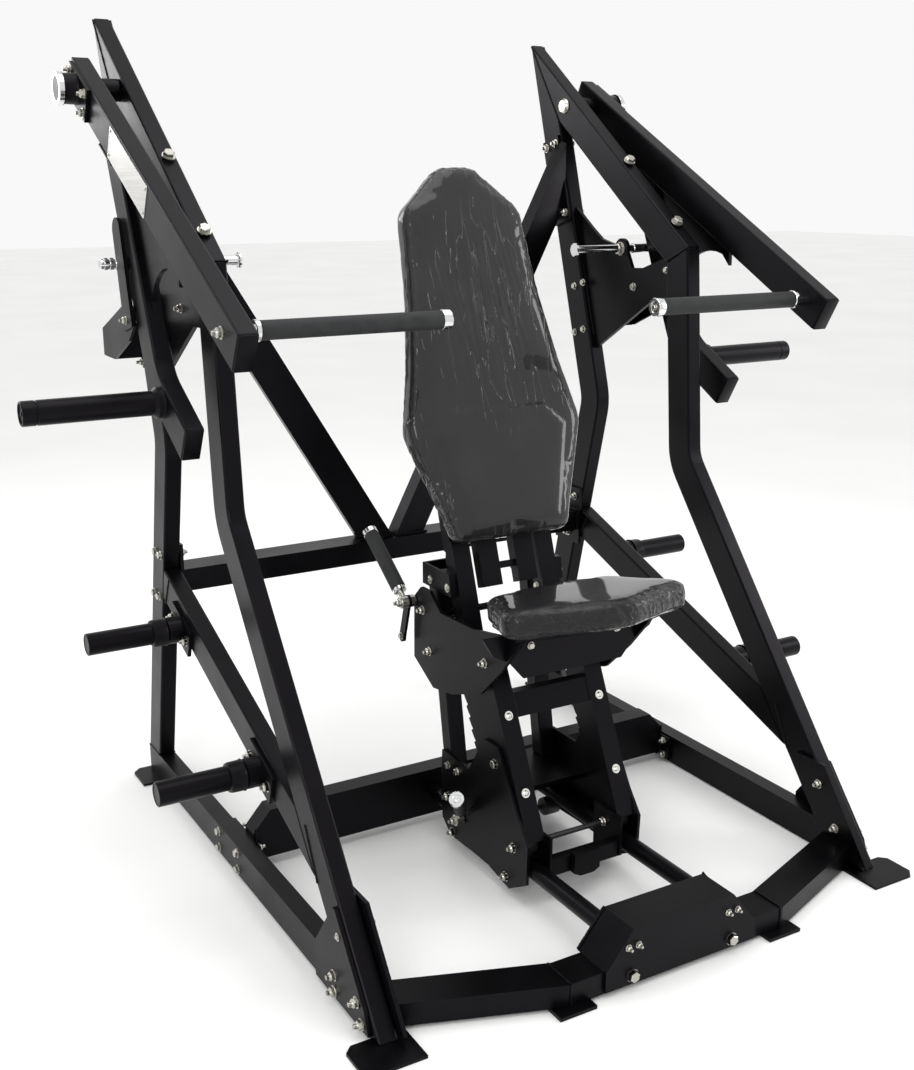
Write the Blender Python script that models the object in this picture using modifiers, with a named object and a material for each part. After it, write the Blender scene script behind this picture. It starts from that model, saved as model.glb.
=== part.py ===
"""Plate-loaded chest press machine with a seat carriage that rolls on two rails.

Metres, +Z up. X is the width (the user's right-hand side is -X), -Y is the front where the rail box
stands, and the origin lies on the floor under the middle of the machine. Both side frames and both press
arms are mirror images, so most of the outlines below are drawn once in the (y, z) plane.
"""
import math

import bmesh
import bpy
from mathutils import Matrix, Vector

# ---------------------------------------------------------------- driving dimensions
GAP = 0.0003               # air between pieces that touch
TUBE_WIDTH = 0.040         # all frame tubes are 80 x 40 mm
TUBE_HALF = 0.040          # half of the 80 mm side
TUBE_ROUND = 0.004         # corner radius of the tubes

# side frame centre lines, as (y, z)
FRAME_X = 0.605
FRONT_FOOT = (-0.594, 0.000)
FRONT_BEND = (0.053, 0.823)
FRONT_TOP = (0.094, 1.324)
KNEE_RADIUS = 0.110
APEX = (0.6845, 1.7602)
REAR_BEND = (0.436, 0.920)
REAR_FOOT = (0.659, 0.000)
FOOT_PLATE = 0.006
BASE_TOP = 0.076
BASE_REAR = 0.684
STORAGE_REAR = (0.480, 0.571)
STORAGE_FRONT = (-0.330, 0.268)

# press arms, as (y, z)
ARM_X = 0.692
PIVOT = (0.588, 1.694)
ARM_REAR = (0.653, 1.7296)
ARM_FRONT = (-0.305, 1.2086)
HORN_ARM_TOP = (0.389, 1.586)
HORN_ARM_BEND = (0.177, 1.092)
HORN_ARM_END = (0.005, 0.995)
HORN_ARM_RADIUS = 0.150
WEIGHT_HORN = (0.127, 1.064)
WEIGHT_HORN_TIP_X = 0.995
HANDLE = (-0.243, 1.240)
HANDLE_TIP_X = 0.250
STOP_PEG = (0.3375, 1.330)

# rails, carriage and seat
RAIL_X = 0.1215
RAIL_Z = 0.0854
RAIL_RADIUS = 0.019
RAIL_FRONT = -0.6287
RAIL_REAR = 0.0647
ROLLER_RADIUS = 0.022
POST_SLOPE = 0.462         # y per z along the slanted seat posts
POST_FOOT = (-0.377, 0.156)
POST_TOP_Z = 0.500
UPRIGHT_SLOPE = 0.170
UPRIGHT_FOOT = (-0.042, 0.225)
PAD_FOOT = (-0.117, 0.734)  # lower front edge of the back pad
PAD_LEAN = math.radians(18.6)
PAD_THICK = 0.062
SEAT_FRONT = (-0.490, 0.694)
SEAT_TILT = math.radians(-8.5)
SEAT_THICK = 0.060
SEAT_X = 0.015

SIDES = (("left", -1.0), ("right", 1.0))


# ---------------------------------------------------------------- scene, materials, bodies
def clear_scene():
    for item in list(bpy.data.objects):
        bpy.data.objects.remove(item, do_unlink=True)


def new_collection(name):
    collection = bpy.data.collections.new(name)
    bpy.context.scene.collection.children.link(collection)
    return collection


def material(name, colour, metallic, roughness):
    made = bpy.data.materials.new(name)
    made.use_nodes = True
    shader = made.node_tree.nodes["Principled BSDF"]
    shader.inputs["Base Color"].default_value = (*colour, 1.0)
    shader.inputs["Metallic"].default_value = metallic
    shader.inputs["Roughness"].default_value = roughness
    made.diffuse_color = (*colour, 1.0)
    return made


clear_scene()
MACHINE = new_collection("chest_press_machine")
CUTTERS = new_collection("cutters")
BLACK = material("satin_black_powder_coat", (0.012, 0.012, 0.014), 0.0, 0.38)
CHROME = material("chrome_plated_steel", (0.70, 0.71, 0.72), 1.0, 0.15)
RUBBER = material("grey_rubber_grip", (0.060, 0.062, 0.065), 0.0, 0.60)
VINYL = material("dark_grey_vinyl", (0.030, 0.028, 0.030), 0.0, 0.30)
NYLON = material("grey_nylon_roller", (0.10, 0.10, 0.10), 0.0, 0.50)


def joint_empty(name, location):
    empty = bpy.data.objects.new(name, None)
    empty.location = location
    MACHINE.objects.link(empty)
    return empty


BODIES = {
    "left_arm": joint_empty("left_arm_axis", (-ARM_X, *PIVOT)),
    "right_arm": joint_empty("right_arm_axis", (ARM_X, *PIVOT)),
    "carriage": joint_empty("carriage_origin", (0.0, -0.2, RAIL_Z)),
    "seat": joint_empty("seat_origin", (0.0, -0.25, 0.5)),
    "seat_lever": joint_empty("seat_lever_axis", (-0.19, 0.060, 0.572)),
    "lock_lever": joint_empty("lock_lever_axis", (-0.160, -0.125, 0.100)),
}


# ---------------------------------------------------------------- outlines in a plane
def unit(a, b):
    length = math.dist(a, b)
    return ((b[0] - a[0]) / length, (b[1] - a[1]) / length)


def along(point, direction, distance):
    return (point[0] + direction[0] * distance, point[1] + direction[1] * distance)


def left_of(direction):
    return (-direction[1], direction[0])


def cross_point(p, d, q, e):
    """Where the line through p along d meets the line through q along e."""
    bottom = d[0] * e[1] - d[1] * e[0]
    t = ((q[0] - p[0]) * e[1] - (q[1] - p[1]) * e[0]) / bottom
    return along(p, d, t)


def strip(path, half):
    """Outline of a bar of constant width along a bent centre line, with mitred bends."""
    sides = []
    for sign in (1.0, -1.0):
        edge = []
        directions = [unit(a, b) for a, b in zip(path, path[1:])]
        starts = [along(p, left_of(d), sign * half) for p, d in zip(path, directions)]
        edge.append(starts[0])
        for i in range(1, len(directions)):
            edge.append(cross_point(starts[i - 1], directions[i - 1], starts[i], directions[i]))
        edge.append(along(path[-1], left_of(directions[-1]), sign * half))
        sides.append(edge)
    return sides[0] + sides[1][::-1]


def keep(outline, point, normal, gap=GAP):
    """Cut an outline along a line: the side that the normal points to stays, a gap away from the line."""
    size = math.hypot(*normal)
    normal = (normal[0] / size, normal[1] / size)
    point = along(point, normal, gap)
    kept = []
    for a, b in zip(outline, outline[1:] + outline[:1]):
        height_a = (a[0] - point[0]) * normal[0] + (a[1] - point[1]) * normal[1]
        height_b = (b[0] - point[0]) * normal[0] + (b[1] - point[1]) * normal[1]
        if height_a >= 0.0:
            kept.append(a)
        if (height_a >= 0.0) != (height_b >= 0.0):
            share = height_a / (height_a - height_b)
            kept.append((a[0] + (b[0] - a[0]) * share, a[1] + (b[1] - a[1]) * share))
    return kept


def mitre(corner, own_end, other_end):
    """Normal of the mitre line at a corner, pointing into the member that runs to own_end."""
    own = unit(corner, own_end)
    other = unit(corner, other_end)
    normal = (own[0] - other[0], own[1] - other[1])
    return corner, normal


def edge_line(a, b, side, half=TUBE_HALF):
    """A point and outward normal of the edge of a bar from a to b; side 1 is left of the direction."""
    normal = left_of(unit(a, b))
    normal = (normal[0] * side, normal[1] * side)
    return along(a, normal, half), normal


def arc(centre, radius, start, end, steps):
    return [
        (centre[0] + radius * math.cos(math.radians(start + (end - start) * i / steps)),
         centre[1] + radius * math.sin(math.radians(start + (end - start) * i / steps)))
        for i in range(steps + 1)
    ]


def bend_path(a, corner, b, radius, steps):
    """A centre line a-corner-b with the corner rounded off."""
    into, out = unit(a, corner), unit(corner, b)
    turn = math.acos(into[0] * out[0] + into[1] * out[1])
    cut = radius * math.tan(turn / 2.0)
    side = 1.0 if into[0] * out[1] - into[1] * out[0] > 0.0 else -1.0
    start = along(corner, into, -cut)
    centre = along(start, left_of(into), side * radius)
    first = math.atan2(start[1] - centre[1], start[0] - centre[0])
    points = [a]
    for i in range(steps + 1):
        angle = first + side * turn * i / steps
        points.append((centre[0] + radius * math.cos(angle), centre[1] + radius * math.sin(angle)))
    points.append(b)
    return points


# ---------------------------------------------------------------- solids
AXIS_TURN = {
    "X": Matrix(((0, 0, 1), (1, 0, 0), (0, 1, 0))),
    "Y": Matrix(((1, 0, 0), (0, 0, -1), (0, 1, 0))),
    "Z": Matrix.Identity(3),
}


def add_object(name, mesh, finish, body=None, collection=None):
    item = bpy.data.objects.new(name, mesh)
    (collection or MACHINE).objects.link(item)
    mesh.materials.clear()
    mesh.materials.append(finish)
    if body:
        item.parent = BODIES[body]
        item.matrix_parent_inverse = Matrix.Translation(BODIES[body].location).inverted()
    return item


def flat_mesh(name, outline, axis, centre, thickness):
    """A flat outline as a filled 2D curve, given its thickness and turned to stand across an axis."""
    curve = bpy.data.curves.new(name, "CURVE")
    curve.dimensions = "2D"
    curve.fill_mode = "BOTH"
    curve.extrude = thickness / 2.0
    spline = curve.splines.new("POLY")
    spline.points.add(len(outline) - 1)
    for point, (u, v) in zip(spline.points, outline):
        point.co = (u, v, 0.0, 1.0)
    spline.use_cyclic_u = True
    holder = bpy.data.objects.new(name, curve)
    MACHINE.objects.link(holder)
    bpy.context.view_layer.update()
    evaluated = holder.evaluated_get(bpy.context.evaluated_depsgraph_get())
    mesh = bpy.data.meshes.new_from_object(evaluated)
    bpy.data.objects.remove(holder, do_unlink=True)
    bpy.data.curves.remove(curve)
    shape = bmesh.new()
    shape.from_mesh(mesh)
    bmesh.ops.remove_doubles(shape, verts=shape.verts, dist=0.00001)
    bmesh.ops.dissolve_limit(shape, angle_limit=0.001, verts=shape.verts, edges=shape.edges)
    shift = {"X": (centre, 0, 0), "Y": (0, centre, 0), "Z": (0, 0, centre)}[axis]
    bmesh.ops.transform(shape, matrix=Matrix.Translation(shift) @ AXIS_TURN[axis].to_4x4(), verts=shape.verts)
    bmesh.ops.recalc_face_normals(shape, faces=shape.faces)
    shape.to_mesh(mesh)
    shape.free()
    mesh.name = name
    return mesh


def plate(name, outline, axis, centre, thickness, finish=BLACK, body=None):
    return add_object(name, flat_mesh(name, outline, axis, centre, thickness), finish, body)


def box_mesh(name, low, high):
    shape = bmesh.new()
    size = [b - a for a, b in zip(low, high)]
    middle = [(a + b) / 2.0 for a, b in zip(low, high)]
    matrix = Matrix.Translation(middle) @ Matrix.Diagonal((*size, 1.0))
    bmesh.ops.create_cube(shape, size=1.0, matrix=matrix)
    mesh = bpy.data.meshes.new(name)
    shape.to_mesh(mesh)
    shape.free()
    return mesh


def box_between(name, x_a, x_b, low, high):
    """A box from one X to another, whichever is the lower, and between two (y, z) corners."""
    return box_mesh(name, (min(x_a, x_b), *low), (max(x_a, x_b), *high))


def rod_mesh(name, start, end, radius, sides=24, end_radius=None):
    """A cylinder or cone between two points."""
    start, end = Vector(start), Vector(end)
    axis = end - start
    turn = axis.to_track_quat("Z", "Y").to_matrix().to_4x4()
    shape = bmesh.new()
    bmesh.ops.create_cone(
        shape, cap_ends=True, segments=sides, radius1=radius,
        radius2=radius if end_radius is None else end_radius, depth=axis.length,
        matrix=Matrix.Translation((start + end) / 2.0) @ turn)
    mesh = bpy.data.meshes.new(name)
    shape.to_mesh(mesh)
    shape.free()
    return mesh


def beam_mesh(name, start, end, width, depth, cuts):
    """A rectangular bar between two points; each cut is a plane whose normal side stays."""
    start, end = Vector(start), Vector(end)
    axis = end - start
    turn = axis.to_track_quat("Z", "Y").to_matrix().to_4x4()
    shape = bmesh.new()
    scale = Matrix.Diagonal((width, depth, axis.length, 1.0))
    bmesh.ops.create_cube(shape, size=1.0, matrix=Matrix.Translation((start + end) / 2.0) @ turn @ scale)
    for point, normal in cuts:
        everything = shape.verts[:] + shape.edges[:] + shape.faces[:]
        cut = bmesh.ops.bisect_plane(
            shape, geom=everything, plane_co=point, plane_no=normal, clear_inner=True)
        rim = [item for item in cut["geom_cut"] if isinstance(item, bmesh.types.BMEdge)]
        bmesh.ops.contextual_create(shape, geom=rim)
    bmesh.ops.recalc_face_normals(shape, faces=shape.faces)
    mesh = bpy.data.meshes.new(name)
    shape.to_mesh(mesh)
    shape.free()
    return mesh


def round_edges(item, width=TUBE_ROUND, segments=2):
    bevel = item.modifiers.new("round_edges", "BEVEL")
    bevel.width = width
    bevel.segments = segments
    bevel.limit_method = "ANGLE"
    bevel.angle_limit = math.radians(35.0)
    return item


def helper(name, mesh):
    item = add_object(name, mesh, BLACK, collection=CUTTERS)
    item.hide_render = True
    item.display_type = "WIRE"
    return item


def combine(item, operation, meshes):
    """Join other shapes to an object, or cut them from it, one Boolean for each shape."""
    for i, mesh in enumerate(meshes):
        boolean = item.modifiers.new(f"{operation.lower()}_{i}", "BOOLEAN")
        boolean.operation = operation
        boolean.solver = "EXACT"
        boolean.object = helper(f"{item.name}_{operation.lower()}_{i}", mesh)
    return item


def smooth_round(item, angle=40.0):
    item.data.shade_smooth()
    item.data.set_sharp_from_angle(angle=math.radians(angle))
    return item


def hex_bolts(places, side, x_start, reach=0.007, across=0.018):
    """Hexagon heads that stand out from a plate along X, at (y, z) places."""
    heads = []
    for y, z in places:
        start = (side * (x_start - 0.002), y, z)
        end = (side * (x_start + reach), y, z)
        heads.append(rod_mesh("bolt_head", start, end, across / math.sqrt(3.0), sides=6))
    return heads


# ---------------------------------------------------------------- side frames
def base_beam(label, side):
    outline = [(-0.62, FOOT_PLATE), (BASE_REAR, FOOT_PLATE), (BASE_REAR, BASE_TOP), (-0.62, BASE_TOP)]
    leg_edge = edge_line(FRONT_FOOT, FRONT_BEND, -1.0)
    outline = keep(outline, *leg_edge)
    item = plate(f"{label}_base_beam", outline, "X", side * FRAME_X, TUBE_WIDTH)
    inner, outer = FRAME_X - 0.045, FRAME_X + 0.078
    front = [(inner, -0.490), (inner, -0.703), (outer - 0.015, -0.703), (outer, -0.688), (outer, -0.625),
             (outer - 0.015, -0.610), (outer - 0.060, -0.610), (outer - 0.060, -0.490)]
    rear = [(inner, 0.600), (inner, 0.700), (outer - 0.030, 0.700), (outer - 0.012, 0.682),
            (outer - 0.012, 0.600)]
    strap = [(-0.600, 0.0), (0.660, 0.0), (0.660, FOOT_PLATE + 0.002), (-0.600, FOOT_PLATE + 0.002)]
    feet = []
    for foot in (front, rear):
        turned = [(side * x, y) for x, y in foot]
        feet.append(flat_mesh("foot", turned, "Z", FOOT_PLATE / 2.0, FOOT_PLATE))
    strap = keep(strap, (-0.532, 0.0), (1.0, 0.0), 0.0)
    feet.append(flat_mesh("sole", strap, "X", side * FRAME_X, TUBE_WIDTH - 0.010))
    return combine(item, "UNION", feet + foot_gusset(side))


def front_leg(label, side):
    path = bend_path(along(FRONT_FOOT, unit(FRONT_BEND, FRONT_FOOT), 0.1), FRONT_BEND,
                     along(FRONT_TOP, unit(FRONT_BEND, FRONT_TOP), 0.1), KNEE_RADIUS, 5)
    outline = keep(strip(path, TUBE_HALF), (0.0, FOOT_PLATE), (0.0, 1.0))
    outline = keep(outline, *mitre(FRONT_TOP, FRONT_BEND, APEX), GAP / 2.0)
    return round_edges(plate(f"{label}_front_leg", outline, "X", side * FRAME_X, TUBE_WIDTH))


def top_beam(label, side):
    direction = unit(FRONT_TOP, APEX)
    path = [along(FRONT_TOP, direction, -0.2), along(APEX, direction, 0.3)]
    outline = strip(path, TUBE_HALF)
    outline = keep(outline, *mitre(FRONT_TOP, APEX, FRONT_BEND), GAP / 2.0)
    outline = keep(outline, *mitre(APEX, FRONT_TOP, REAR_BEND), GAP / 2.0)
    item = round_edges(plate(f"{label}_top_beam", outline, "X", side * FRAME_X, TUBE_WIDTH))
    bore = rod_mesh("axle_bore", (side * 0.55, *PIVOT), (side * 0.65, *PIVOT), 0.0153)
    return combine(item, "DIFFERENCE", [bore])


def rear_leg(label, side):
    path = bend_path(along(APEX, unit(REAR_BEND, APEX), 0.3), REAR_BEND,
                     along(REAR_FOOT, unit(REAR_BEND, REAR_FOOT), 0.1), KNEE_RADIUS, 5)
    outline = keep(strip(path, TUBE_HALF), (0.0, BASE_TOP), (0.0, 1.0))
    outline = keep(outline, *mitre(APEX, REAR_BEND, FRONT_TOP), GAP / 2.0)
    return round_edges(plate(f"{label}_rear_leg", outline, "X", side * FRAME_X, TUBE_WIDTH))


def storage_beam(label, side):
    direction = unit(STORAGE_FRONT, STORAGE_REAR)
    path = [along(STORAGE_FRONT, direction, -0.2), along(STORAGE_REAR, direction, 0.2)]
    outline = strip(path, 0.038)
    outline = keep(outline, *edge_line(REAR_BEND, REAR_FOOT, -1.0))
    outline = keep(outline, *edge_line(FRONT_FOOT, FRONT_BEND, -1.0))
    return round_edges(plate(f"{label}_storage_beam", outline, "X", side * FRAME_X, TUBE_WIDTH))


def stop_plate(label, side):
    """The web between the legs; its lobe carries the stop peg for the press arm."""
    lobe = arc(STOP_PEG, 0.026, 20.0, 195.0, 10)
    outline = [(0.60, 1.470), (0.47, 1.380)] + [(0.425, 1.352)] + lobe + [(0.290, 1.283), (0.245, 1.285),
               (0.170, 1.310), (0.080, 1.330), (0.080, 1.207), (0.205, 1.204), (0.409, 1.078), (0.500, 1.020)]
    outline = keep(outline, *edge_line(APEX, REAR_BEND, -1.0))
    outline = keep(outline, *edge_line(FRONT_BEND, FRONT_TOP, -1.0))
    outline = keep(outline, *edge_line(FRONT_TOP, APEX, -1.0))
    item = plate(f"{label}_stop_plate", outline, "X", side * FRAME_X, 0.010)
    bore = rod_mesh("peg_bore", (side * 0.58, *STOP_PEG), (side * 0.63, *STOP_PEG), 0.0103)
    return combine(item, "DIFFERENCE", [bore])


def foot_gusset(side):
    """Outer plate that ties the foot of the front leg to the base beam, welded to the beam only."""
    face = FRAME_X + TUBE_WIDTH / 2.0 + GAP
    outline = [(-0.385, 0.010), (-0.612, 0.010), (-0.596, 0.055), (-0.480, 0.200), (-0.470, 0.200),
               (-0.385, 0.085)]
    weld = box_between("weld", side * (face - 0.008), side * (face + 0.004), (-0.474, 0.012), (-0.392, 0.070))
    return [flat_mesh("gusset", outline, "X", side * (face + 0.004), 0.008), weld]


def stop_bracket(label, side):
    """Flat bar that holds the outer end of the stop peg, on a channel bolted to the rear leg."""
    face = FRAME_X + TUBE_WIDTH / 2.0 + GAP
    bar = [(0.262, 1.205), (0.318, 1.190)] + arc((0.334, 1.398), 0.027, -25.0, 150.0, 8)
    item = plate(f"{label}_stop_bracket", bar, "X", side * 0.7195, 0.008)
    channel = [(0.262, 1.245), (0.262, 1.205), (0.305, 1.170), (0.420, 1.120), (0.505, 1.120), (0.505, 1.180),
               (0.330, 1.245)]
    wall = [(0.420, 1.255), (0.420, 1.105), (0.470, 1.085), (0.505, 1.085), (0.530, 1.255)]
    extras = [flat_mesh("web", channel, "X", side * 0.7166, 0.006),
              flat_mesh("foot", wall, "X", side * (face + 0.004), 0.008),
              box_between("shelf", side * (face + 0.002), side * 0.7170, (0.430, 1.118), (0.500, 1.126)),
              box_between("cheek", side * (face + 0.002), side * 0.7170, (0.430, 1.118), (0.437, 1.195))]
    combine(item, "UNION", extras)
    bore = rod_mesh("peg_bore", (side * 0.68, *STOP_PEG), (side * 0.74, *STOP_PEG), 0.0128)
    return combine(item, "DIFFERENCE", [bore])


def stop_peg(label, side):
    """Chrome pin through the stop plate: flat head inside, stepped end outside behind the horn arm."""
    steps = [(0.450, 0.457, 0.0170), (0.455, 0.640, 0.0100), (0.638, 0.745, 0.0125), (0.743, 0.762, 0.0105)]
    meshes = [rod_mesh("peg", (side * a, *STOP_PEG), (side * b, *STOP_PEG), r, sides=20) for a, b, r in steps]
    item = smooth_round(add_object(f"{label}_stop_peg", meshes[0], CHROME))
    return combine(item, "UNION", meshes[1:])


def pivot_axle(label, side):
    """Turns on nothing itself: the arm's bearings run on it. Head inside the top beam, collar outside."""
    steps = [(0.577, 0.5847, 0.020), (0.580, 0.744, 0.0150), (0.6253, 0.6635, 0.024)]
    meshes = [rod_mesh("axle", (side * a, *PIVOT), (side * b, *PIVOT), r) for a, b, r in steps]
    item = smooth_round(add_object(f"{label}_pivot_axle", meshes[1], CHROME))
    return combine(item, "UNION", [meshes[0], meshes[2]])


def storage_horn(name, side, centre):
    face = FRAME_X + TUBE_WIDTH / 2.0 + GAP
    direction = unit(STORAGE_FRONT, STORAGE_REAR)
    foot = strip([along(centre, direction, -0.063), along(centre, direction, 0.063)], 0.034)
    item = plate(name, foot, "X", side * (face + 0.004), 0.008)
    collar = rod_mesh("collar", (side * (face + 0.005), *centre), (side * (face + 0.040), *centre), 0.031)
    sleeve = rod_mesh("sleeve", (side * (face + 0.006), *centre), (side * 0.848, *centre), 0.025)
    bolts = hex_bolts([along(centre, direction, 0.047), along(centre, direction, -0.047)], side, face + 0.008)
    return smooth_round(combine(item, "UNION", [collar, sleeve] + bolts))


# ---------------------------------------------------------------- cross members
def rear_crossbeam():
    reach = FRAME_X - TUBE_WIDTH / 2.0 - GAP
    item = add_object("rear_crossbeam", box_mesh("beam", (-reach + 0.004, 0.470, 0.545),
                                                 (reach - 0.004, 0.550, 0.600)), BLACK)
    end = [(0.462, 0.505), (0.575, 0.505), (0.575, 0.640), (0.555, 0.665), (0.462, 0.665)]
    ends = [flat_mesh("end_plate", end, "X", side * (reach - 0.004), 0.008) for _, side in SIDES]
    return combine(item, "UNION", ends)


def diagonal_brace(label, side):
    """From the middle of the rear crossbeam up to the rear leg, with the end plate that bolts to the leg."""
    reach = FRAME_X - TUBE_WIDTH / 2.0 - GAP
    low = Vector((side * 0.0459, 0.510, 0.600))
    high = Vector((side * reach, 0.592, 1.528))
    ahead = (high - low).normalized()
    cuts = [((0.0, 0.0, 0.600 + GAP), (0.0, 0.0, 1.0)),
            ((side * (reach - 0.002), 0.0, 0.0), (-side, 0.0, 0.0)),
            ((side * 0.001, 0.0, 0.0), (side, 0.0, 0.0))]
    mesh = beam_mesh("brace", low - ahead * 0.2, high + ahead * 0.2, 0.040, 0.080, cuts)
    item = add_object(f"{label}_diagonal_brace", mesh, BLACK)
    leg = [along(REAR_BEND, unit(REAR_BEND, APEX), distance) for distance in (0.490, 0.720)]
    end = flat_mesh("end_plate", strip(leg, 0.036), "X", side * (reach - 0.004), 0.008)
    return combine(item, "UNION", [end])


def mid_crossbeam():
    reach = FRAME_X - TUBE_WIDTH / 2.0 - GAP
    outline = [(-reach + 0.004, 0.022), (reach - 0.004, 0.022), (reach - 0.004, 0.088), (0.538, 0.137),
               (-0.538, 0.137), (-reach + 0.004, 0.088)]
    item = plate("mid_crossbeam", outline, "Y", 0.090, 0.050)
    ends = [box_mesh("end_plate", (side * reach - (0.008 if side > 0 else 0.0), 0.030, 0.012),
                     (side * reach + (0.008 if side < 0 else 0.0), 0.190, 0.072)) for _, side in SIDES]
    return combine(item, "UNION", ends)


def front_crossbeam():
    reach = FRAME_X - TUBE_WIDTH / 2.0 - GAP
    path = [(-reach + 0.004, -0.562), (-0.2625, -0.677), (0.2625, -0.677), (reach - 0.004, -0.562)]
    outline = strip([(path[0][0] - 0.05, path[0][1] + 0.0183), path[1], path[2],
                     (path[3][0] + 0.05, path[3][1] + 0.0183)], 0.0385)
    for side in (-1.0, 1.0):
        outline = keep(outline, (side * (reach - 0.003), 0.0), (-side, 0.0), 0.0)
    item = plate("front_crossbeam", outline, "Z", 0.0305, 0.047)
    end = [(-0.659, 0.022), (-0.512, 0.215), (-0.425, 0.215), (-0.520, 0.022)]
    extras = [flat_mesh("end_plate", end, "X", side * (reach - 0.004), 0.008) for _, side in SIDES]
    extras += [box_mesh("foot", (min(side * 0.217, side * 0.300), -0.738, 0.0),
                        (max(side * 0.217, side * 0.300), -0.650, 0.0075)) for _, side in SIDES]
    return combine(item, "UNION", extras)


def rail_box():
    top = [(-0.187, 0.0543), (0.187, 0.0543), (0.125, 0.130), (-0.125, 0.130)]
    item = plate("rail_box", top, "Y", -0.67575, 0.0935)
    front = [(-0.187, 0.012), (0.187, 0.012), (0.187, 0.056), (-0.187, 0.056)]
    bolts = [rod_mesh("bolt", (x, -0.720, z), (x, -0.7300, z), r, sides=6)
             for x, z, r in ((-0.124, 0.031, 0.013), (0.124, 0.031, 0.013))]
    return combine(item, "UNION", [flat_mesh("front_plate", front, "Y", -0.71925, 0.0065)] + bolts)


def rail(label, side):
    mesh = rod_mesh(f"{label}_rail", (side * RAIL_X, RAIL_FRONT, RAIL_Z), (side * RAIL_X, RAIL_REAR, RAIL_Z),
                    RAIL_RADIUS)
    return smooth_round(add_object(f"{label}_rail", mesh, BLACK))


# ---------------------------------------------------------------- press arms
def arm_tube(label, side):
    outline = strip([ARM_FRONT, ARM_REAR], TUBE_HALF)
    item = plate(f"{label}_arm_tube", outline, "X", side * ARM_X, TUBE_WIDTH, body=f"{label}_arm")
    item = round_edges(item)
    bore = rod_mesh("bearing_bore", (side * 0.65, *PIVOT), (side * 0.73, *PIVOT), 0.0223)
    return combine(item, "DIFFERENCE", [bore])


def horn_arm(label, side):
    """Bent tube under the arm, with the flat web welded between the two; the web's free edge is hollow."""
    top = along(HORN_ARM_TOP, unit(HORN_ARM_BEND, HORN_ARM_TOP), 0.1)
    path = bend_path(top, HORN_ARM_BEND, HORN_ARM_END, HORN_ARM_RADIUS, 8)
    outline = keep(strip(path, 0.0385), *edge_line(ARM_FRONT, ARM_REAR, -1.0))
    item = plate(f"{label}_horn_arm", outline, "X", side * ARM_X, TUBE_WIDTH, body=f"{label}_arm")
    item = round_edges(item)
    hollow = arc((0.085, 1.205), 0.128, 108.0, 25.0, 8)
    web = [(0.50, 1.72), (0.02, 1.46), (0.02, 1.30)] + hollow + [(0.170, 1.130)]
    web = keep(web, *edge_line(ARM_FRONT, ARM_REAR, -1.0))
    web = keep(web, *edge_line(HORN_ARM_BEND, HORN_ARM_TOP, 1.0, 0.020))
    return combine(item, "UNION", [flat_mesh("web", web, "X", side * ARM_X, 0.010)])


def pivot_hub(label, side):
    """Bearing housing bolted to the outside of the arm, running on the pivot axle."""
    face = ARM_X + TUBE_WIDTH / 2.0 + GAP
    direction = unit(ARM_FRONT, ARM_REAR)
    flange = strip([along(PIVOT, direction, -0.085), along(PIVOT, direction, 0.060)], 0.037)
    item = plate(f"{label}_pivot_hub", flange, "X", side * (face + 0.004), 0.008, body=f"{label}_arm")
    parts = [(0.6640, face + 0.005, 0.022), (face + 0.002, 0.752, 0.032), (0.749, 0.762, 0.035)]
    meshes = [rod_mesh("hub", (side * a, *PIVOT), (side * b, *PIVOT), r) for a, b, r in parts]
    bore = rod_mesh("axle_bore", (side * 0.60, *PIVOT), (side * 0.7455, *PIVOT), 0.0153, sides=20)
    return smooth_round(combine(combine(item, "UNION", meshes), "DIFFERENCE", [bore]))


def weight_horn(label, side):
    face = ARM_X + TUBE_WIDTH / 2.0 + GAP
    steps = [(face, face + 0.020, 0.032), (face + 0.010, WEIGHT_HORN_TIP_X - 0.006, 0.025),
             (WEIGHT_HORN_TIP_X - 0.010, WEIGHT_HORN_TIP_X, 0.0235)]
    meshes = [rod_mesh("sleeve", (side * a, *WEIGHT_HORN), (side * b, *WEIGHT_HORN), r) for a, b, r in steps]
    item = smooth_round(add_object(f"{label}_weight_horn", meshes[0], BLACK, f"{label}_arm"))
    return combine(item, "UNION", meshes[1:])


def press_handle(label, side):
    """Grip on its bar, welded across the inner face of the arm, with a turned end cap."""
    face = ARM_X - TUBE_WIDTH / 2.0 - GAP
    steps = [(HANDLE_TIP_X, 0.270, 0.0200), (0.268, 0.642, 0.0185), (0.640, 0.655, 0.0200),
             (0.653, face, 0.0150)]
    meshes = [rod_mesh("grip", (side * a, *HANDLE), (side * b, *HANDLE), r) for a, b, r in steps]
    item = smooth_round(add_object(f"{label}_press_handle", meshes[1], RUBBER, f"{label}_arm"))
    return combine(item, "UNION", [meshes[0], meshes[2], meshes[3]])


# ---------------------------------------------------------------- carriage on the rails
def post_line(z, back=0.0):
    return (POST_FOOT[0] + POST_SLOPE * (z - POST_FOOT[1]) + back, z)


def carriage_side(label, side):
    outline = [(-0.321, 0.020), (-0.388, 0.060), (-0.392, 0.150), post_line(0.200, 0.004),
               post_line(0.330, 0.024), (-0.215, 0.330), (-0.150, 0.232), (-0.030, 0.232),
               (-0.026, 0.100), (-0.032, 0.062), (-0.070, 0.032), (-0.165, 0.036), (-0.235, 0.036)]
    item = plate(f"{label}_carriage_side", outline, "X", side * 0.1453, 0.007, body="carriage")
    places = [(-0.339, 0.1267), (-0.309, 0.0441), (-0.079, 0.0441), (-0.060, 0.1267), (-0.262, 0.290)]
    return combine(item, "UNION", hex_bolts(places, side, 0.1488, 0.006, 0.017))


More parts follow.
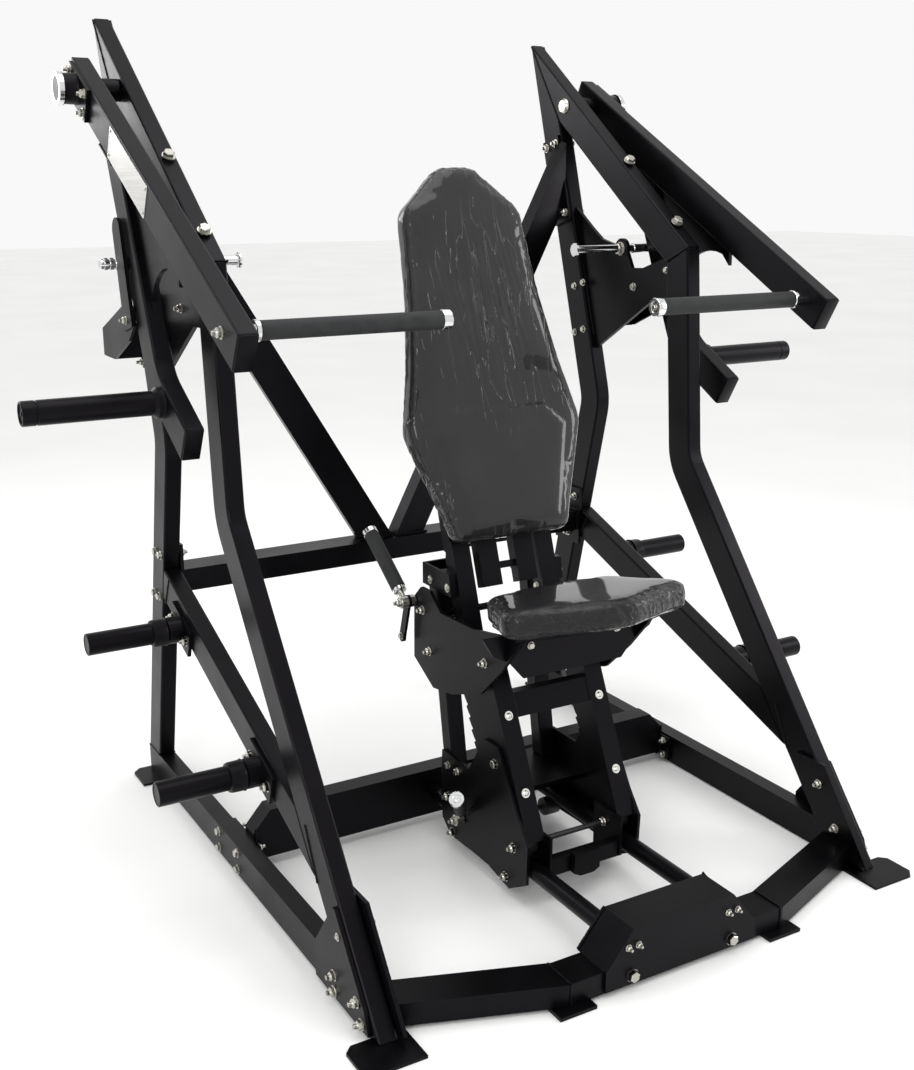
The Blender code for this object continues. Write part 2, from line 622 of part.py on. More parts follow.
def seat_post(label, side):
    """Slanted box post with the toothed height rack on the rear edge of its side plate."""
    front_low, front_high = post_line(0.150), post_line(POST_TOP_Z)
    tube = [front_low, front_high, along(front_high, (1.0, 0.0), 0.040), along(front_low, (1.0, 0.0), 0.040)]
    item = plate(f"{label}_seat_post", tube, "X", side * 0.1185, 0.045, body="carriage")
    teeth = []
    count = 9
    for i in range(count):
        low = 0.262 + i * 0.0245
        teeth += [post_line(low, 0.148), post_line(low + 0.012, 0.152), post_line(low + 0.018, 0.143)]
    rack = [post_line(0.170, 0.006), post_line(0.170, 0.110), post_line(0.240, 0.150)] + teeth
    rack += [post_line(POST_TOP_Z, 0.120), post_line(POST_TOP_Z, 0.006)]
    return combine(item, "UNION", [flat_mesh("rack", rack, "X", side * 0.1370, 0.0064)])


def post_crossbar():
    low, high = post_line(0.388, 0.003), post_line(0.436, 0.003)
    outline = [low, high, along(high, (1.0, 0.0), 0.024), along(low, (1.0, 0.0), 0.024)]
    return plate("post_crossbar", outline, "X", 0.0, 0.1912, body="carriage")


def carriage_bar():
    """Front bar between the rails, with the inner roller plates and the small stop block."""
    item = add_object("carriage_bar", box_mesh("bar", (-0.094, -0.392, 0.066), (0.094, -0.368, 0.103)), BLACK,
                      "carriage")
    inner = [(-0.300, 0.028), (-0.398, 0.070), (-0.398, 0.160), (-0.360, 0.160), (-0.300, 0.160)]
    extras = [flat_mesh("inner_plate", inner, "X", side * 0.0924, 0.006) for _, side in SIDES]
    stop = [(-0.036, 0.064), (-0.020, 0.056), (0.014, 0.056), (0.030, 0.064), (0.030, 0.108), (-0.036, 0.108)]
    extras.append(flat_mesh("stop_block", stop, "Y", -0.397, 0.018))
    combine(item, "UNION", extras)
    bores = [rod_mesh("bore", (-0.12, y, z), (0.12, y, z), 0.008, sides=12)
             for y, z in ((-0.339, 0.1267), (-0.309, 0.0441))]
    return combine(item, "DIFFERENCE", bores)


def carriage_floor():
    """Plate that ties both carriage sides together behind the posts and carries the uprights."""
    mesh = box_mesh("floor", (-0.1414, -0.190, 0.158), (0.1414, -0.012, 0.170))
    return add_object("carriage_floor", mesh, BLACK, "carriage")


def roller_axle(name, y, z):
    """Two nylon rollers on one axle, one for each rail."""
    item = add_object(name, rod_mesh("axle", (-0.138, y, z), (0.138, y, z), 0.006, sides=16), NYLON, name)
    wheels = [rod_mesh("roller", (side * 0.0990, y, z), (side * 0.1412, y, z), ROLLER_RADIUS)
              for _, side in SIDES]
    return smooth_round(combine(item, "UNION", wheels))


def upright_line(z, back=0.0):
    return (UPRIGHT_FOOT[0] + UPRIGHT_SLOPE * (z - UPRIGHT_FOOT[1]) + back, z)


def pad_point(across, up, back):
    """A point of the leaning back pad: up along its front face, back into its thickness."""
    y = PAD_FOOT[0] + up * math.sin(PAD_LEAN) + back * math.cos(PAD_LEAN)
    z = PAD_FOOT[1] + up * math.cos(PAD_LEAN) - back * math.sin(PAD_LEAN)
    return (across, y, z)


def upright(label, side):
    """Lower tube on the carriage floor, the open box on its head, and the tube that leans with the pad."""
    path = [upright_line(0.120), upright_line(0.95)]
    outline = keep(strip(path, 0.020), (0.0, 0.170), (0.0, 1.0))
    outline = keep(outline, (0.0, 0.628), (0.0, -1.0))
    item = plate(f"{label}_upright", outline, "X", side * 0.1212, 0.040, body="carriage")
    item = round_edges(item, 0.003)
    back = PAD_THICK + 0.009
    tube = [pad_point(0.0, up, deep)[1:] for up, deep in
            ((-0.220, back), (0.230, back), (0.230, back + 0.040), (-0.220, back + 0.040))]
    leaning_tube = flat_mesh("leaning_tube", tube, "X", side * 0.1095, 0.044)
    front = pad_point(0.0, -0.075, back)[1]
    rim = [(front, 0.612), (0.056, 0.612), (0.056, 0.662), (front + 0.010, 0.662)]
    box = flat_mesh("box", rim, "X", side * 0.1185, 0.062)
    combine(item, "UNION", [leaning_tube, box])
    recess = box_between("recess", side * 0.0925, side * 0.1440, (-0.018, 0.636), (0.049, 0.700))
    return combine(item, "DIFFERENCE", [recess])


def leaning(mesh):
    """Carry a shape drawn in the pad's own plane (x across, y up, z forward) to its place on the machine."""
    turn = Matrix.Rotation(math.pi / 2.0 - PAD_LEAN, 4, "X")
    mesh.transform(Matrix.Translation((0.0, *PAD_FOOT)) @ turn)
    return mesh


def coffin(inset=0.0):
    half = [(0.146, 0.0), (0.234, 0.254), (0.202, 0.400), (0.176, 0.560), (0.157, 0.757), (0.045, 0.855)]
    half = [(x - inset, y) for x, y in half]
    low, high = inset, 0.855 - inset
    half = [(x, min(max(y, low), high)) for x, y in half]
    return half + [(-x, y) for x, y in half[::-1]]


def back_pad():
    mesh = leaning(flat_mesh("back_pad", coffin(), "Z", -PAD_THICK / 2.0, PAD_THICK))
    return round_edges(add_object("back_pad", mesh, VINYL, "carriage"), 0.015, 3)


def pad_bracket():
    """Steel back plate of the pad, with the two stubs that reach below it and the bar between them."""
    outline = [(-0.140, 0.020), (0.140, 0.020), (0.140, 0.300), (0.060, 0.560), (-0.060, 0.560),
               (-0.140, 0.300)]
    mesh = leaning(flat_mesh("pad_bracket", outline, "Z", -(PAD_THICK + 0.0047), 0.008))
    item = add_object("pad_bracket", mesh, BLACK, "carriage")
    stubs = []
    for x in (-0.044, 0.050):
        stub = [(x - 0.025, -0.092), (x + 0.025, -0.092), (x + 0.025, 0.060), (x - 0.025, 0.060)]
        stubs.append(leaning(flat_mesh("stub", stub, "Z", -(PAD_THICK + 0.020), 0.028)))
    bar = [(-0.030, -0.056), (0.040, -0.056), (0.040, -0.040), (-0.030, -0.040)]
    stubs.append(leaning(flat_mesh("bar", bar, "Z", -(PAD_THICK + 0.022), 0.016)))
    return combine(item, "UNION", stubs)


# ---------------------------------------------------------------- seat
def seat_plane(mesh):
    """Carry a shape drawn flat (x across, y back, z up from the seat's top) to the tilted seat."""
    turn = Matrix.Rotation(SEAT_TILT, 4, "X")
    mesh.transform(Matrix.Translation((SEAT_X, *SEAT_FRONT)) @ turn)
    return mesh


def seat_pad():
    half = [(0.030, 0.0), (0.225, 0.080), (0.238, 0.112), (0.170, 0.285), (0.080, 0.312)]
    outline = half + [(-x, y) for x, y in half[::-1]]
    mesh = seat_plane(flat_mesh("seat_pad", outline, "Z", -SEAT_THICK / 2.0, SEAT_THICK))
    return round_edges(add_object("seat_pad", mesh, VINYL, "seat"), 0.012, 3)


def seat_carrier():
    """Folded plate frame under the seat: top plate, two side cheeks outside the posts and a front plate."""
    top = [(-0.200, 0.110), (-0.100, 0.070), (0.100, 0.070), (0.200, 0.110), (0.150, 0.280), (-0.150, 0.280)]
    mesh = seat_plane(flat_mesh("seat_carrier", top, "Z", -(SEAT_THICK + GAP + 0.003), 0.006))
    item = add_object("seat_carrier", mesh, BLACK, "seat")
    cheek = [(-0.395, 0.614), (-0.311, 0.518), (-0.231, 0.443), (-0.110, 0.400), (-0.026, 0.387),
             (0.064, 0.435), (0.062, 0.582), (0.030, 0.612), (-0.010, 0.612), (-0.060, 0.575),
             (-0.200, 0.580)]
    extras = [flat_mesh("cheek", cheek, "X", side * 0.1650, 0.008) for _, side in SIDES]
    front = [(-0.225, 0.606), (-0.200, 0.566), (-0.160, 0.545), (-0.125, 0.505), (0.125, 0.505),
             (0.160, 0.545), (0.200, 0.566), (0.225, 0.606)]
    extras.append(flat_mesh("front_plate", front, "Y", -0.330, 0.006))
    extras.append(rod_mesh("rear_tie", (-0.163, -0.027, 0.560), (0.163, -0.027, 0.560), 0.008, sides=16))
    return combine(item, "UNION", extras)


def seat_lever():
    """Rubber-gripped release lever with its hub and the pawl arm below it."""
    hub = (0.060, 0.572)
    tip = Vector((-0.193, 0.240, 0.700))
    root = Vector((-0.193, 0.085, 0.590))
    mesh = rod_mesh("hub", (-0.1695, *hub), (-0.207, *hub), 0.014)
    item = add_object("seat_lever", mesh, CHROME, "seat_lever")
    neck = rod_mesh("neck", (-0.193, 0.062, 0.574), root + (tip - root) * 0.1, 0.008, sides=16)
    grip = rod_mesh("grip", root, tip, 0.0172)
    pawl = strip([hub, (0.088, 0.478)], 0.011)
    item = combine(item, "UNION", [neck, grip, flat_mesh("pawl", pawl, "X", -0.186, 0.007)])
    return smooth_round(item)


def lock_lever():
    """Short gripped lever that locks the carriage to its rail."""
    hub = rod_mesh("hub", (-0.1493, -0.125, 0.100), (-0.1720, -0.125, 0.100), 0.013)
    item = add_object("lock_lever", hub, CHROME, "lock_lever")
    root = Vector((-0.1655, -0.1440, 0.1294))
    ahead = Vector((-0.450, -0.630, 0.630)).normalized()
    neck = rod_mesh("neck", (-0.1640, -0.125, 0.100), root + ahead * 0.020, 0.006, sides=16)
    grip = rod_mesh("grip", root, root + ahead * 0.118, 0.0145)
    cap = rod_mesh("cap", root + ahead * 0.116, root + ahead * 0.126, 0.0175)
    return smooth_round(combine(item, "UNION", [neck, grip, cap]))


# ---------------------------------------------------------------- the machine
ROLLERS = {
    "front_upper_rollers": (-0.339, RAIL_Z + RAIL_RADIUS + ROLLER_RADIUS + GAP),
    "front_lower_rollers": (-0.309, RAIL_Z - RAIL_RADIUS - ROLLER_RADIUS - GAP),
    "rear_upper_rollers": (-0.060, RAIL_Z + RAIL_RADIUS + ROLLER_RADIUS + GAP),
    "rear_lower_rollers": (-0.079, RAIL_Z - RAIL_RADIUS - ROLLER_RADIUS - GAP),
}


def build():
    for label, side in SIDES:
        base_beam(label, side)
        front_leg(label, side)
        top_beam(label, side)
        rear_leg(label, side)
        storage_beam(label, side)
        stop_plate(label, side)
        stop_bracket(label, side)
        stop_peg(label, side)
        pivot_axle(label, side)
        storage_horn(f"{label}_storage_horn_rear", side, (0.345, 0.498))
        storage_horn(f"{label}_storage_horn_front", side, (-0.126, 0.334))
        diagonal_brace(label, side)
        rail(label, side)
        arm_tube(label, side)
        horn_arm(label, side)
        pivot_hub(label, side)
        weight_horn(label, side)
        press_handle(label, side)
        carriage_side(label, side)
        seat_post(label, side)
        upright(label, side)
    rear_crossbeam()
    mid_crossbeam()
    front_crossbeam()
    rail_box()
    post_crossbar()
    carriage_bar()
    carriage_floor()
    for name, (y, z) in ROLLERS.items():
        BODIES[name] = joint_empty(f"{name}_axis", (0.0, y, z))
        roller_axle(name, y, z)
    back_pad()
    pad_bracket()
    seat_pad()
    seat_carrier()
    seat_lever()
    lock_lever()


build()
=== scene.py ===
import math

import bmesh
import bpy
import numpy as np
from mathutils import Matrix, Vector, noise


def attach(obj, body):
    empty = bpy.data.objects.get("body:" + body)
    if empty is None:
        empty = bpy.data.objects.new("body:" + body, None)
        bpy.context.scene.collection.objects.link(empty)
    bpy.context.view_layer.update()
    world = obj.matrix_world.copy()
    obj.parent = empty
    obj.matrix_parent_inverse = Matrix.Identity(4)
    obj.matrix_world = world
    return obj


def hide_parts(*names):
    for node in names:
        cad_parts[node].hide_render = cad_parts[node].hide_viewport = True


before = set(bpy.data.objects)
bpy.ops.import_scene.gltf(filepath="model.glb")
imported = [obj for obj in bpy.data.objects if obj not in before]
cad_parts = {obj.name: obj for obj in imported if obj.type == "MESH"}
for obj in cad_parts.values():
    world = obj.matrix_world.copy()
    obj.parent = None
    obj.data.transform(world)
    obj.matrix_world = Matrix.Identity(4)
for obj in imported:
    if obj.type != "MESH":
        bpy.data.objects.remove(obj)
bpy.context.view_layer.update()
print("frame loaded:", len(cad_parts), "nodes")

# camera, lights and floor -------------------------------------------------
view = {"place": (-1.507, -2.429, 1.492), "forward": (0.486, 0.8339, -0.2616), "lens": 43.56, "sensor": 36.0}
cameraData = bpy.data.cameras.new("camera")
cameraData.lens = view["lens"]
cameraData.sensor_width = view["sensor"]
cameraData.sensor_fit = "AUTO"
cameraObject = bpy.data.objects.new("camera", cameraData)
cameraObject.location = view["place"]
cameraObject.rotation_euler = Vector(view["forward"]).to_track_quat("-Z", "Y").to_euler()
bpy.context.scene.collection.objects.link(cameraObject)
bpy.context.scene.camera = cameraObject
bpy.context.scene.view_settings.view_transform = "Standard"

lights = [
    # name, place, aim, width, height, watts
    ("ceilingPanel", (0.0, -0.3, 3.9), (0.0, 0.0, 0.6), 2.6, 2.6, 42.0),
    ("frontLeftPanel", (-2.9, -2.9, 2.5), (0.0, 0.0, 0.8), 1.2, 2.0, 46.0),
    ("rightPanel", (3.2, -1.6, 1.9), (0.3, 0.0, 0.9), 0.8, 2.2, 34.0),
    ("rearPanel", (-1.6, 3.2, 2.4), (0.0, 0.2, 1.0), 1.6, 1.4, 26.0),
]
for name, place, aim, width, height, watts in lights:
    lamp = bpy.data.lights.new(name, "AREA")
    lamp.shape = "RECTANGLE"
    lamp.size = width
    lamp.size_y = height
    lamp.energy = watts
    lampObject = bpy.data.objects.new(name, lamp)
    lampObject.location = place
    lampObject.rotation_euler = (Vector(aim) - Vector(place)).to_track_quat("-Z", "Y").to_euler()
    bpy.context.scene.collection.objects.link(lampObject)


# materials ----------------------------------------------------------------
def linear(code):
    parts = [int(code[i:i + 2], 16) / 255.0 for i in (1, 3, 5)]
    return tuple(c / 12.92 if c <= 0.04045 else ((c + 0.055) / 1.055) ** 2.4 for c in parts) + (1.0,)


def addNode(tree, kind, inputs=None, **settings):
    node = tree.nodes.new(kind)
    for key, value in settings.items():
        setattr(node, key, value)
    for key, value in (inputs or {}).items():
        if isinstance(value, bpy.types.NodeSocket):
            tree.links.new(value, node.inputs[key])
        else:
            node.inputs[key].default_value = value
    return node


def newFinish(name, colour, metallic, roughness):
    finish = bpy.data.materials.new(name)
    finish.use_nodes = True
    tree = finish.node_tree
    shader = tree.nodes["Principled BSDF"]
    shader.inputs["Base Color"].default_value = linear(colour)
    shader.inputs["Metallic"].default_value = metallic
    shader.inputs["Roughness"].default_value = roughness
    return finish, tree, shader, addNode(tree, "ShaderNodeTexCoord").outputs["Object"]


def spread(tree, value, low, high):
    # the middle half of a 0..1 pattern stretched between two values
    return addNode(tree, "ShaderNodeMapRange", {0: value, 1: 0.25, 2: 0.75, 3: low, 4: high}).outputs[0]


def twoTone(tree, value, dark, light):
    ramp = addNode(tree, "ShaderNodeValToRGB", {0: value})
    for element, position, colour in zip(ramp.color_ramp.elements, (0.3, 0.7), (dark, light)):
        element.position = position
        element.color = linear(colour)
    return ramp.outputs[0]


def mottle(tree, place, scale, detail):
    return addNode(tree, "ShaderNodeTexNoise", {"Vector": place, "Scale": scale, "Detail": detail}).outputs[0]


def emboss(tree, shader, height, strength, deep, socket="Normal"):
    bump = addNode(tree, "ShaderNodeBump", {"Height": height, "Strength": strength, "Distance": deep})
    tree.links.new(bump.outputs[0], shader.inputs[socket])


def powderCoatedSteel():
    # sprayed and baked satin powder: a fine orange peel, faint cloudiness, dust in the cloudy parts
    coat = {"peelMm": 2.4, "peelDeep": 0.0002, "cloudMm": 140.0, "colours": ("#030304", "#080709"),
            "roughness": (0.27, 0.40), "specular": 0.13, "tint": "#efe6f2"}
    finish, tree, shader, place = newFinish("powderCoatedSteel", "#0c0c0e", 0.0, 0.36)
    cloud = mottle(tree, place, 1000 / coat["cloudMm"], 5.0)
    tree.links.new(twoTone(tree, cloud, *coat["colours"]), shader.inputs["Base Color"])
    tree.links.new(spread(tree, cloud, *coat["roughness"]), shader.inputs["Roughness"])
    emboss(tree, shader, mottle(tree, place, 1000 / coat["peelMm"], 1.0), 0.22, coat["peelDeep"])
    shader.inputs["Specular IOR Level"].default_value = coat["specular"]
    shader.inputs["Specular Tint"].default_value = linear(coat["tint"])
    return finish


def platedSteel(name, colour, roughness, ringMm):
    # zinc or chrome over turned steel: fine tool rings and small changes in gloss
    plating = {"spotScale": 120.0, "glossy": 0.7, "dull": 1.5, "ringDeep": 0.0001}
    finish, tree, shader, place = newFinish(name, colour, 1.0, roughness)
    spots = mottle(tree, place, plating["spotScale"], 4.0)
    gloss = spread(tree, spots, roughness * plating["glossy"], roughness * plating["dull"])
    tree.links.new(gloss, shader.inputs["Roughness"])
    emboss(tree, shader, mottle(tree, place, 1000 / ringMm, 2.0), 0.15, plating["ringDeep"])
    return finish


def brushedAluminium():
    # rolled sheet, brushed along its length: long streaks about half a millimetre apart
    sheet = {"lean": math.radians(-28.5), "streaks": (200, 8, 1800), "roughness": (0.26, 0.46),
             "colours": ("#bdbcb9", "#dddcd9")}
    finish, tree, shader, place = newFinish("brushedAluminium", "#d3d2cf", 1.0, 0.34)
    turned = addNode(tree, "ShaderNodeMapping",
                     {"Vector": place, "Rotation": (sheet["lean"], 0, 0), "Scale": sheet["streaks"]})
    streaks = mottle(tree, turned.outputs[0], 1.0, 3.0)
    tree.links.new(spread(tree, streaks, *sheet["roughness"]), shader.inputs["Roughness"])
    tree.links.new(twoTone(tree, streaks, *sheet["colours"]), shader.inputs["Base Color"])
    return finish


def grippyRubber():
    # moulded foam rubber: matt, with a fine pebble about a millimetre across
    foam = {"pebbleMm": 1.4, "pebbleDeep": 0.0003, "cloudScale": 40.0, "colours": ("#1d1e1f", "#2b2c2d"),
            "roughness": (0.56, 0.74), "specular": 0.3}
    finish, tree, shader, place = newFinish("mouldedRubber", "#232425", 0.0, 0.66)
    pebble = addNode(tree, "ShaderNodeTexVoronoi", {"Vector": place, "Scale": 1000 / foam["pebbleMm"]})
    cloud = mottle(tree, place, foam["cloudScale"], 4.0)
    tree.links.new(twoTone(tree, cloud, *foam["colours"]), shader.inputs["Base Color"])
    tree.links.new(spread(tree, cloud, *foam["roughness"]), shader.inputs["Roughness"])
    shader.inputs["Specular IOR Level"].default_value = foam["specular"]
    emboss(tree, shader, pebble.outputs[0], 0.3, foam["pebbleDeep"])
    return finish


def wrappedVinyl(name, lean, across, along, distortion, filmIor):
    # calendered vinyl with a soft grain, under stretched clear film: the film is the clear coat,
    # and its creases run up the pad where the point attribute "crease" is high
    film = {"colours": ("#151415", "#1f1d1f"), "grainMm": 1.6, "grainDeep": 0.0003, "cloudScale": 9.0,
            "lineWidth": 0.035, "outOfFace": 20.0, "creaseDeep": 0.0030, "roughness": 0.06, "specular": 0.15}
    finish, tree, shader, place = newFinish(name, "#1a191a", 0.0, 0.45)
    grain = addNode(tree, "ShaderNodeTexVoronoi", {"Vector": place, "Scale": 1000 / film["grainMm"]})
    cloud = mottle(tree, place, film["cloudScale"], 4.0)
    tree.links.new(twoTone(tree, cloud, *film["colours"]), shader.inputs["Base Color"])
    emboss(tree, shader, grain.outputs[0], 0.12, film["grainDeep"])
    turned = addNode(tree, "ShaderNodeMapping",
                     {"Vector": place, "Rotation": (lean, 0, 0), "Scale": (across, film["outOfFace"], along)})
    crease = addNode(tree, "ShaderNodeTexNoise", {"Vector": turned.outputs[0], "Scale": 1.0, "Detail": 1.0,
                                                  "Roughness": 0.4, "Distortion": distortion})
    fold = addNode(tree, "ShaderNodeMath", {0: crease.outputs[0], 1: 0.5}, operation="SUBTRACT")
    ridge = addNode(tree, "ShaderNodeMath", {0: fold.outputs[0]}, operation="ABSOLUTE")
    line = addNode(tree, "ShaderNodeMapRange",
                   {0: ridge.outputs[0], 1: 0.0, 2: film["lineWidth"], 3: 1.0, 4: 0.0},
                   interpolation_type="SMOOTHSTEP")
    amount = addNode(tree, "ShaderNodeAttribute", attribute_name="crease")
    height = addNode(tree, "ShaderNodeMath", {0: line.outputs[0], 1: amount.outputs["Fac"]},
                     operation="MULTIPLY")
    emboss(tree, shader, height.outputs[0], 1.0, film["creaseDeep"], "Coat Normal")
    shader.inputs["Coat Weight"].default_value = 1.0
    shader.inputs["Coat Roughness"].default_value = film["roughness"]
    shader.inputs["Coat IOR"].default_value = filmIor
    shader.inputs["Specular IOR Level"].default_value = film["specular"]
    return finish


def glidingNylon():
    # turned nylon rollers: slightly waxy, with lathe marks
    finish, tree, shader, place = newFinish("turnedNylon", "#1b1b1c", 0.0, 0.42)
    marks = mottle(tree, place, 260.0, 2.0)
    tree.links.new(spread(tree, marks, 0.36, 0.5), shader.inputs["Roughness"])
    return finish


def paleFloor():
    # a nearly white studio floor, barely clouded, so that only the contact shadows read
    finish, tree, shader, place = newFinish("paleStudioFloor", "#f4f4f3", 0.0, 0.7)
    cloud = mottle(tree, place, 0.8, 2.0)
    tree.links.new(twoTone(tree, cloud, "#f2f2f1", "#f7f7f6"), shader.inputs["Base Color"])
    return finish


padLean = {"back": math.radians(18.6), "seat": math.radians(8.5)}
steel = powderCoatedSteel()
zinc = platedSteel("zincPlatedSteel", "#b9b7b0", 0.26, 0.8)
chrome = platedSteel("chromePlatedSteel", "#dcdddd", 0.12, 0.6)
screwWhite = platedSteel("nickelPlatedSteel", "#e4e3df", 0.30, 0.9)
aluminium = brushedAluminium()
rubber = grippyRubber()
nylon = glidingNylon()
backVinyl = wrappedVinyl("filmWrappedVinylBack", padLean["back"], 40.0, 3.2, 0.25, 1.36)
seatVinyl = wrappedVinyl("filmWrappedVinylSeat", padLean["seat"], 34.0, 46.0, 1.2, 1.24)
print("materials made")

# floor and world
studio = {"floorHalf": 30.0, "floorDrop": 0.0005, "colour": "#fbfbfb", "strength": 0.98}
floorShape = bmesh.new()
bmesh.ops.create_grid(floorShape, x_segments=2, y_segments=2, size=studio["floorHalf"])
floorMesh = bpy.data.meshes.new("floor")
floorShape.to_mesh(floorMesh)
floorShape.free()
floorMesh.materials.append(paleFloor())
floor = bpy.data.objects.new("floor", floorMesh)
floor.location.z = -studio["floorDrop"]
bpy.context.scene.collection.objects.link(floor)
world = bpy.data.worlds.new("studio")
world.use_nodes = True
backdrop = world.node_tree.nodes["Background"]
backdrop.inputs["Color"].default_value = linear(studio["colour"])
backdrop.inputs["Strength"].default_value = studio["strength"]
bpy.context.scene.world = world

# frame steel keeps its CAD shape
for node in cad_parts.values():
    if not node.data.materials:
        node.data.materials.append(steel)
    for slotIndex in range(len(node.data.materials)):
        node.data.materials[slotIndex] = steel

sides = (("left", -1.0), ("right", 1.0))


# helpers for pieces -------------------------------------------------------
mergeDistance = 0.000002


def finishPiece(name, shape, material, body, replaced=(), sharp=35.0):
    bmesh.ops.remove_doubles(shape, verts=shape.verts, dist=mergeDistance)
    bmesh.ops.recalc_face_normals(shape, faces=shape.faces)
    mesh = bpy.data.meshes.new(name)
    shape.to_mesh(mesh)
    shape.free()
    mesh.materials.append(material)
    mesh.shade_smooth()
    mesh.set_sharp_from_angle(angle=math.radians(sharp))
    piece = bpy.data.objects.new(name, mesh)
    bpy.context.scene.collection.objects.link(piece)
    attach(piece, body)
    if replaced:
        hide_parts(*replaced)
    return piece


def facing(place, axis):
    # a matrix that carries +Z onto an axis and the origin to a place
    return Matrix.Translation(place) @ Vector(axis).normalized().to_track_quat("Z", "Y").to_matrix().to_4x4()


def addLathe(shape, profile, place, axis, steps=40):
    # profile is (height along the axis, radius), spun once round the axis
    points = [shape.verts.new((radius, 0.0, height)) for height, radius in profile]
    lines = [shape.edges.new(pair) for pair in zip(points, points[1:])]
    bmesh.ops.spin(shape, geom=points + lines, cent=(0, 0, 0), axis=(0, 0, 1), angle=math.tau,
                   steps=steps, use_merge=True)
    fresh = [v for v in shape.verts if not v.tag]
    bmesh.ops.transform(shape, matrix=facing(place, axis), verts=fresh)
    for v in fresh:
        v.tag = True


def lathe(name, profile, place, axis, material, body, replaced=(), steps=40):
    shape = bmesh.new()
    addLathe(shape, profile, place, axis, steps)
    return finishPiece(name, shape, material, body, replaced)


def addPrism(shape, sidesCount, radius, height, place, axis, lift=0.0, top=None, turn=0.0):
    # a short cylinder, washer or hexagon standing on a plane
    spin = Matrix.Translation((0, 0, lift + height / 2)) @ Matrix.Rotation(turn, 4, "Z")
    made = bmesh.ops.create_cone(shape, cap_ends=True, segments=sidesCount, radius1=radius,
                                 radius2=radius if top is None else top, depth=height,
                                 matrix=facing(place, axis) @ spin)
    for v in made["verts"]:
        v.tag = True


boltSizes = {"hex": 0.0098, "headHigh": 0.0066, "chamferHigh": 0.0012, "washer": 0.0118, "washerHigh": 0.0018,
             "screw": 0.0075, "screwTop": 0.0045, "screwHigh": 0.0016, "domeHigh": 0.0020,
             "collarHigh": 0.0024, "thread": 0.0048, "threadHigh": 0.0009, "pitch": 0.0014}


def addFastener(shape, kind, place, axis, scale=1.0, turn=0.4):
    hexRadius = boltSizes["hex"] * scale
    washerHigh = boltSizes["washerHigh"] * scale
    addPrism(shape, 28, boltSizes["washer"] * scale, washerHigh, place, axis)
    if kind == "screw":  # a low domed head
        radius, high = boltSizes["screw"] * scale, boltSizes["screwHigh"]
        addPrism(shape, 24, radius, high, place, axis, washerHigh)
        addPrism(shape, 24, radius, boltSizes["domeHigh"], place, axis, washerHigh + high,
                 boltSizes["screwTop"] * scale)
        return
    high = boltSizes["headHigh"] * scale
    chamfer = boltSizes["chamferHigh"] * scale
    addPrism(shape, 6, hexRadius, high, place, axis, washerHigh, None, turn)
    addPrism(shape, 6, hexRadius, chamfer, place, axis, washerHigh + high, hexRadius * 0.86, turn)
    if kind == "nut":  # the locking collar and the end of the thread
        top = washerHigh + high + chamfer
        collar = boltSizes["collarHigh"] * scale
        thread = boltSizes["thread"] * scale
        addPrism(shape, 24, hexRadius * 0.78, collar, place, axis, top, hexRadius * 0.62)
        for ring in range(4):
            low = top + collar + ring * boltSizes["pitch"]
            addPrism(shape, 16, thread, boltSizes["threadHigh"], place, axis, low)
            addPrism(shape, 16, thread * 0.88, boltSizes["pitch"], place, axis, low)


def fasteners(name, body, places, material=None):
    # places is (kind, (x, y, z), axis, scale)
    shape = bmesh.new()
    for index, (kind, place, axis, scale) in enumerate(places):
        addFastener(shape, kind, place, axis, scale, 0.4 + index * 0.37)
    return finishPiece(name, shape, material or zinc, body, sharp=25.0)


beadSize = {"step": 0.0035, "thin": 0.86, "ripple": 0.22, "wanderScale": 90.0}


def weldBeads(name, body, paths, radius):
    # each path gets one rippled bead, as a hand weld leaves
    curve = bpy.data.curves.new(name, "CURVE")
    curve.dimensions = "3D"
    curve.bevel_depth = radius
    curve.bevel_resolution = 2
    curve.use_fill_caps = True
    for path in paths:
        dense = []
        for start, end in zip(path, path[1:]):
            start, end = Vector(start), Vector(end)
            count = max(2, int((end - start).length / beadSize["step"]))
            dense += [start.lerp(end, i / count) for i in range(count)]
        dense.append(Vector(path[-1]))
        spline = curve.splines.new("POLY")
        spline.points.add(len(dense) - 1)
        for index, (point, place) in enumerate(zip(spline.points, dense)):
            wander = noise.noise(place * beadSize["wanderScale"])
            point.co = (*place, 1.0)
            point.radius = beadSize["thin"] + beadSize["ripple"] * (index % 2) + beadSize["ripple"] * wander
    holder = bpy.data.objects.new(name, curve)
    bpy.context.scene.collection.objects.link(holder)
    bpy.context.view_layer.update()
    mesh = bpy.data.meshes.new_from_object(holder.evaluated_get(bpy.context.evaluated_depsgraph_get()))
    bpy.data.objects.remove(holder)
    shape = bmesh.new()
    shape.from_mesh(mesh)
    return finishPiece(name, shape, steel, body, sharp=80.0)


def columns(first, second, third, place):
    # a matrix from its three axes and its origin
    matrix = Matrix.Identity(4)
    for index, column in enumerate((first, second, third)):
        matrix.col[index] = (*column, 0)
    matrix.col[3] = (*place, 1)
    return matrix


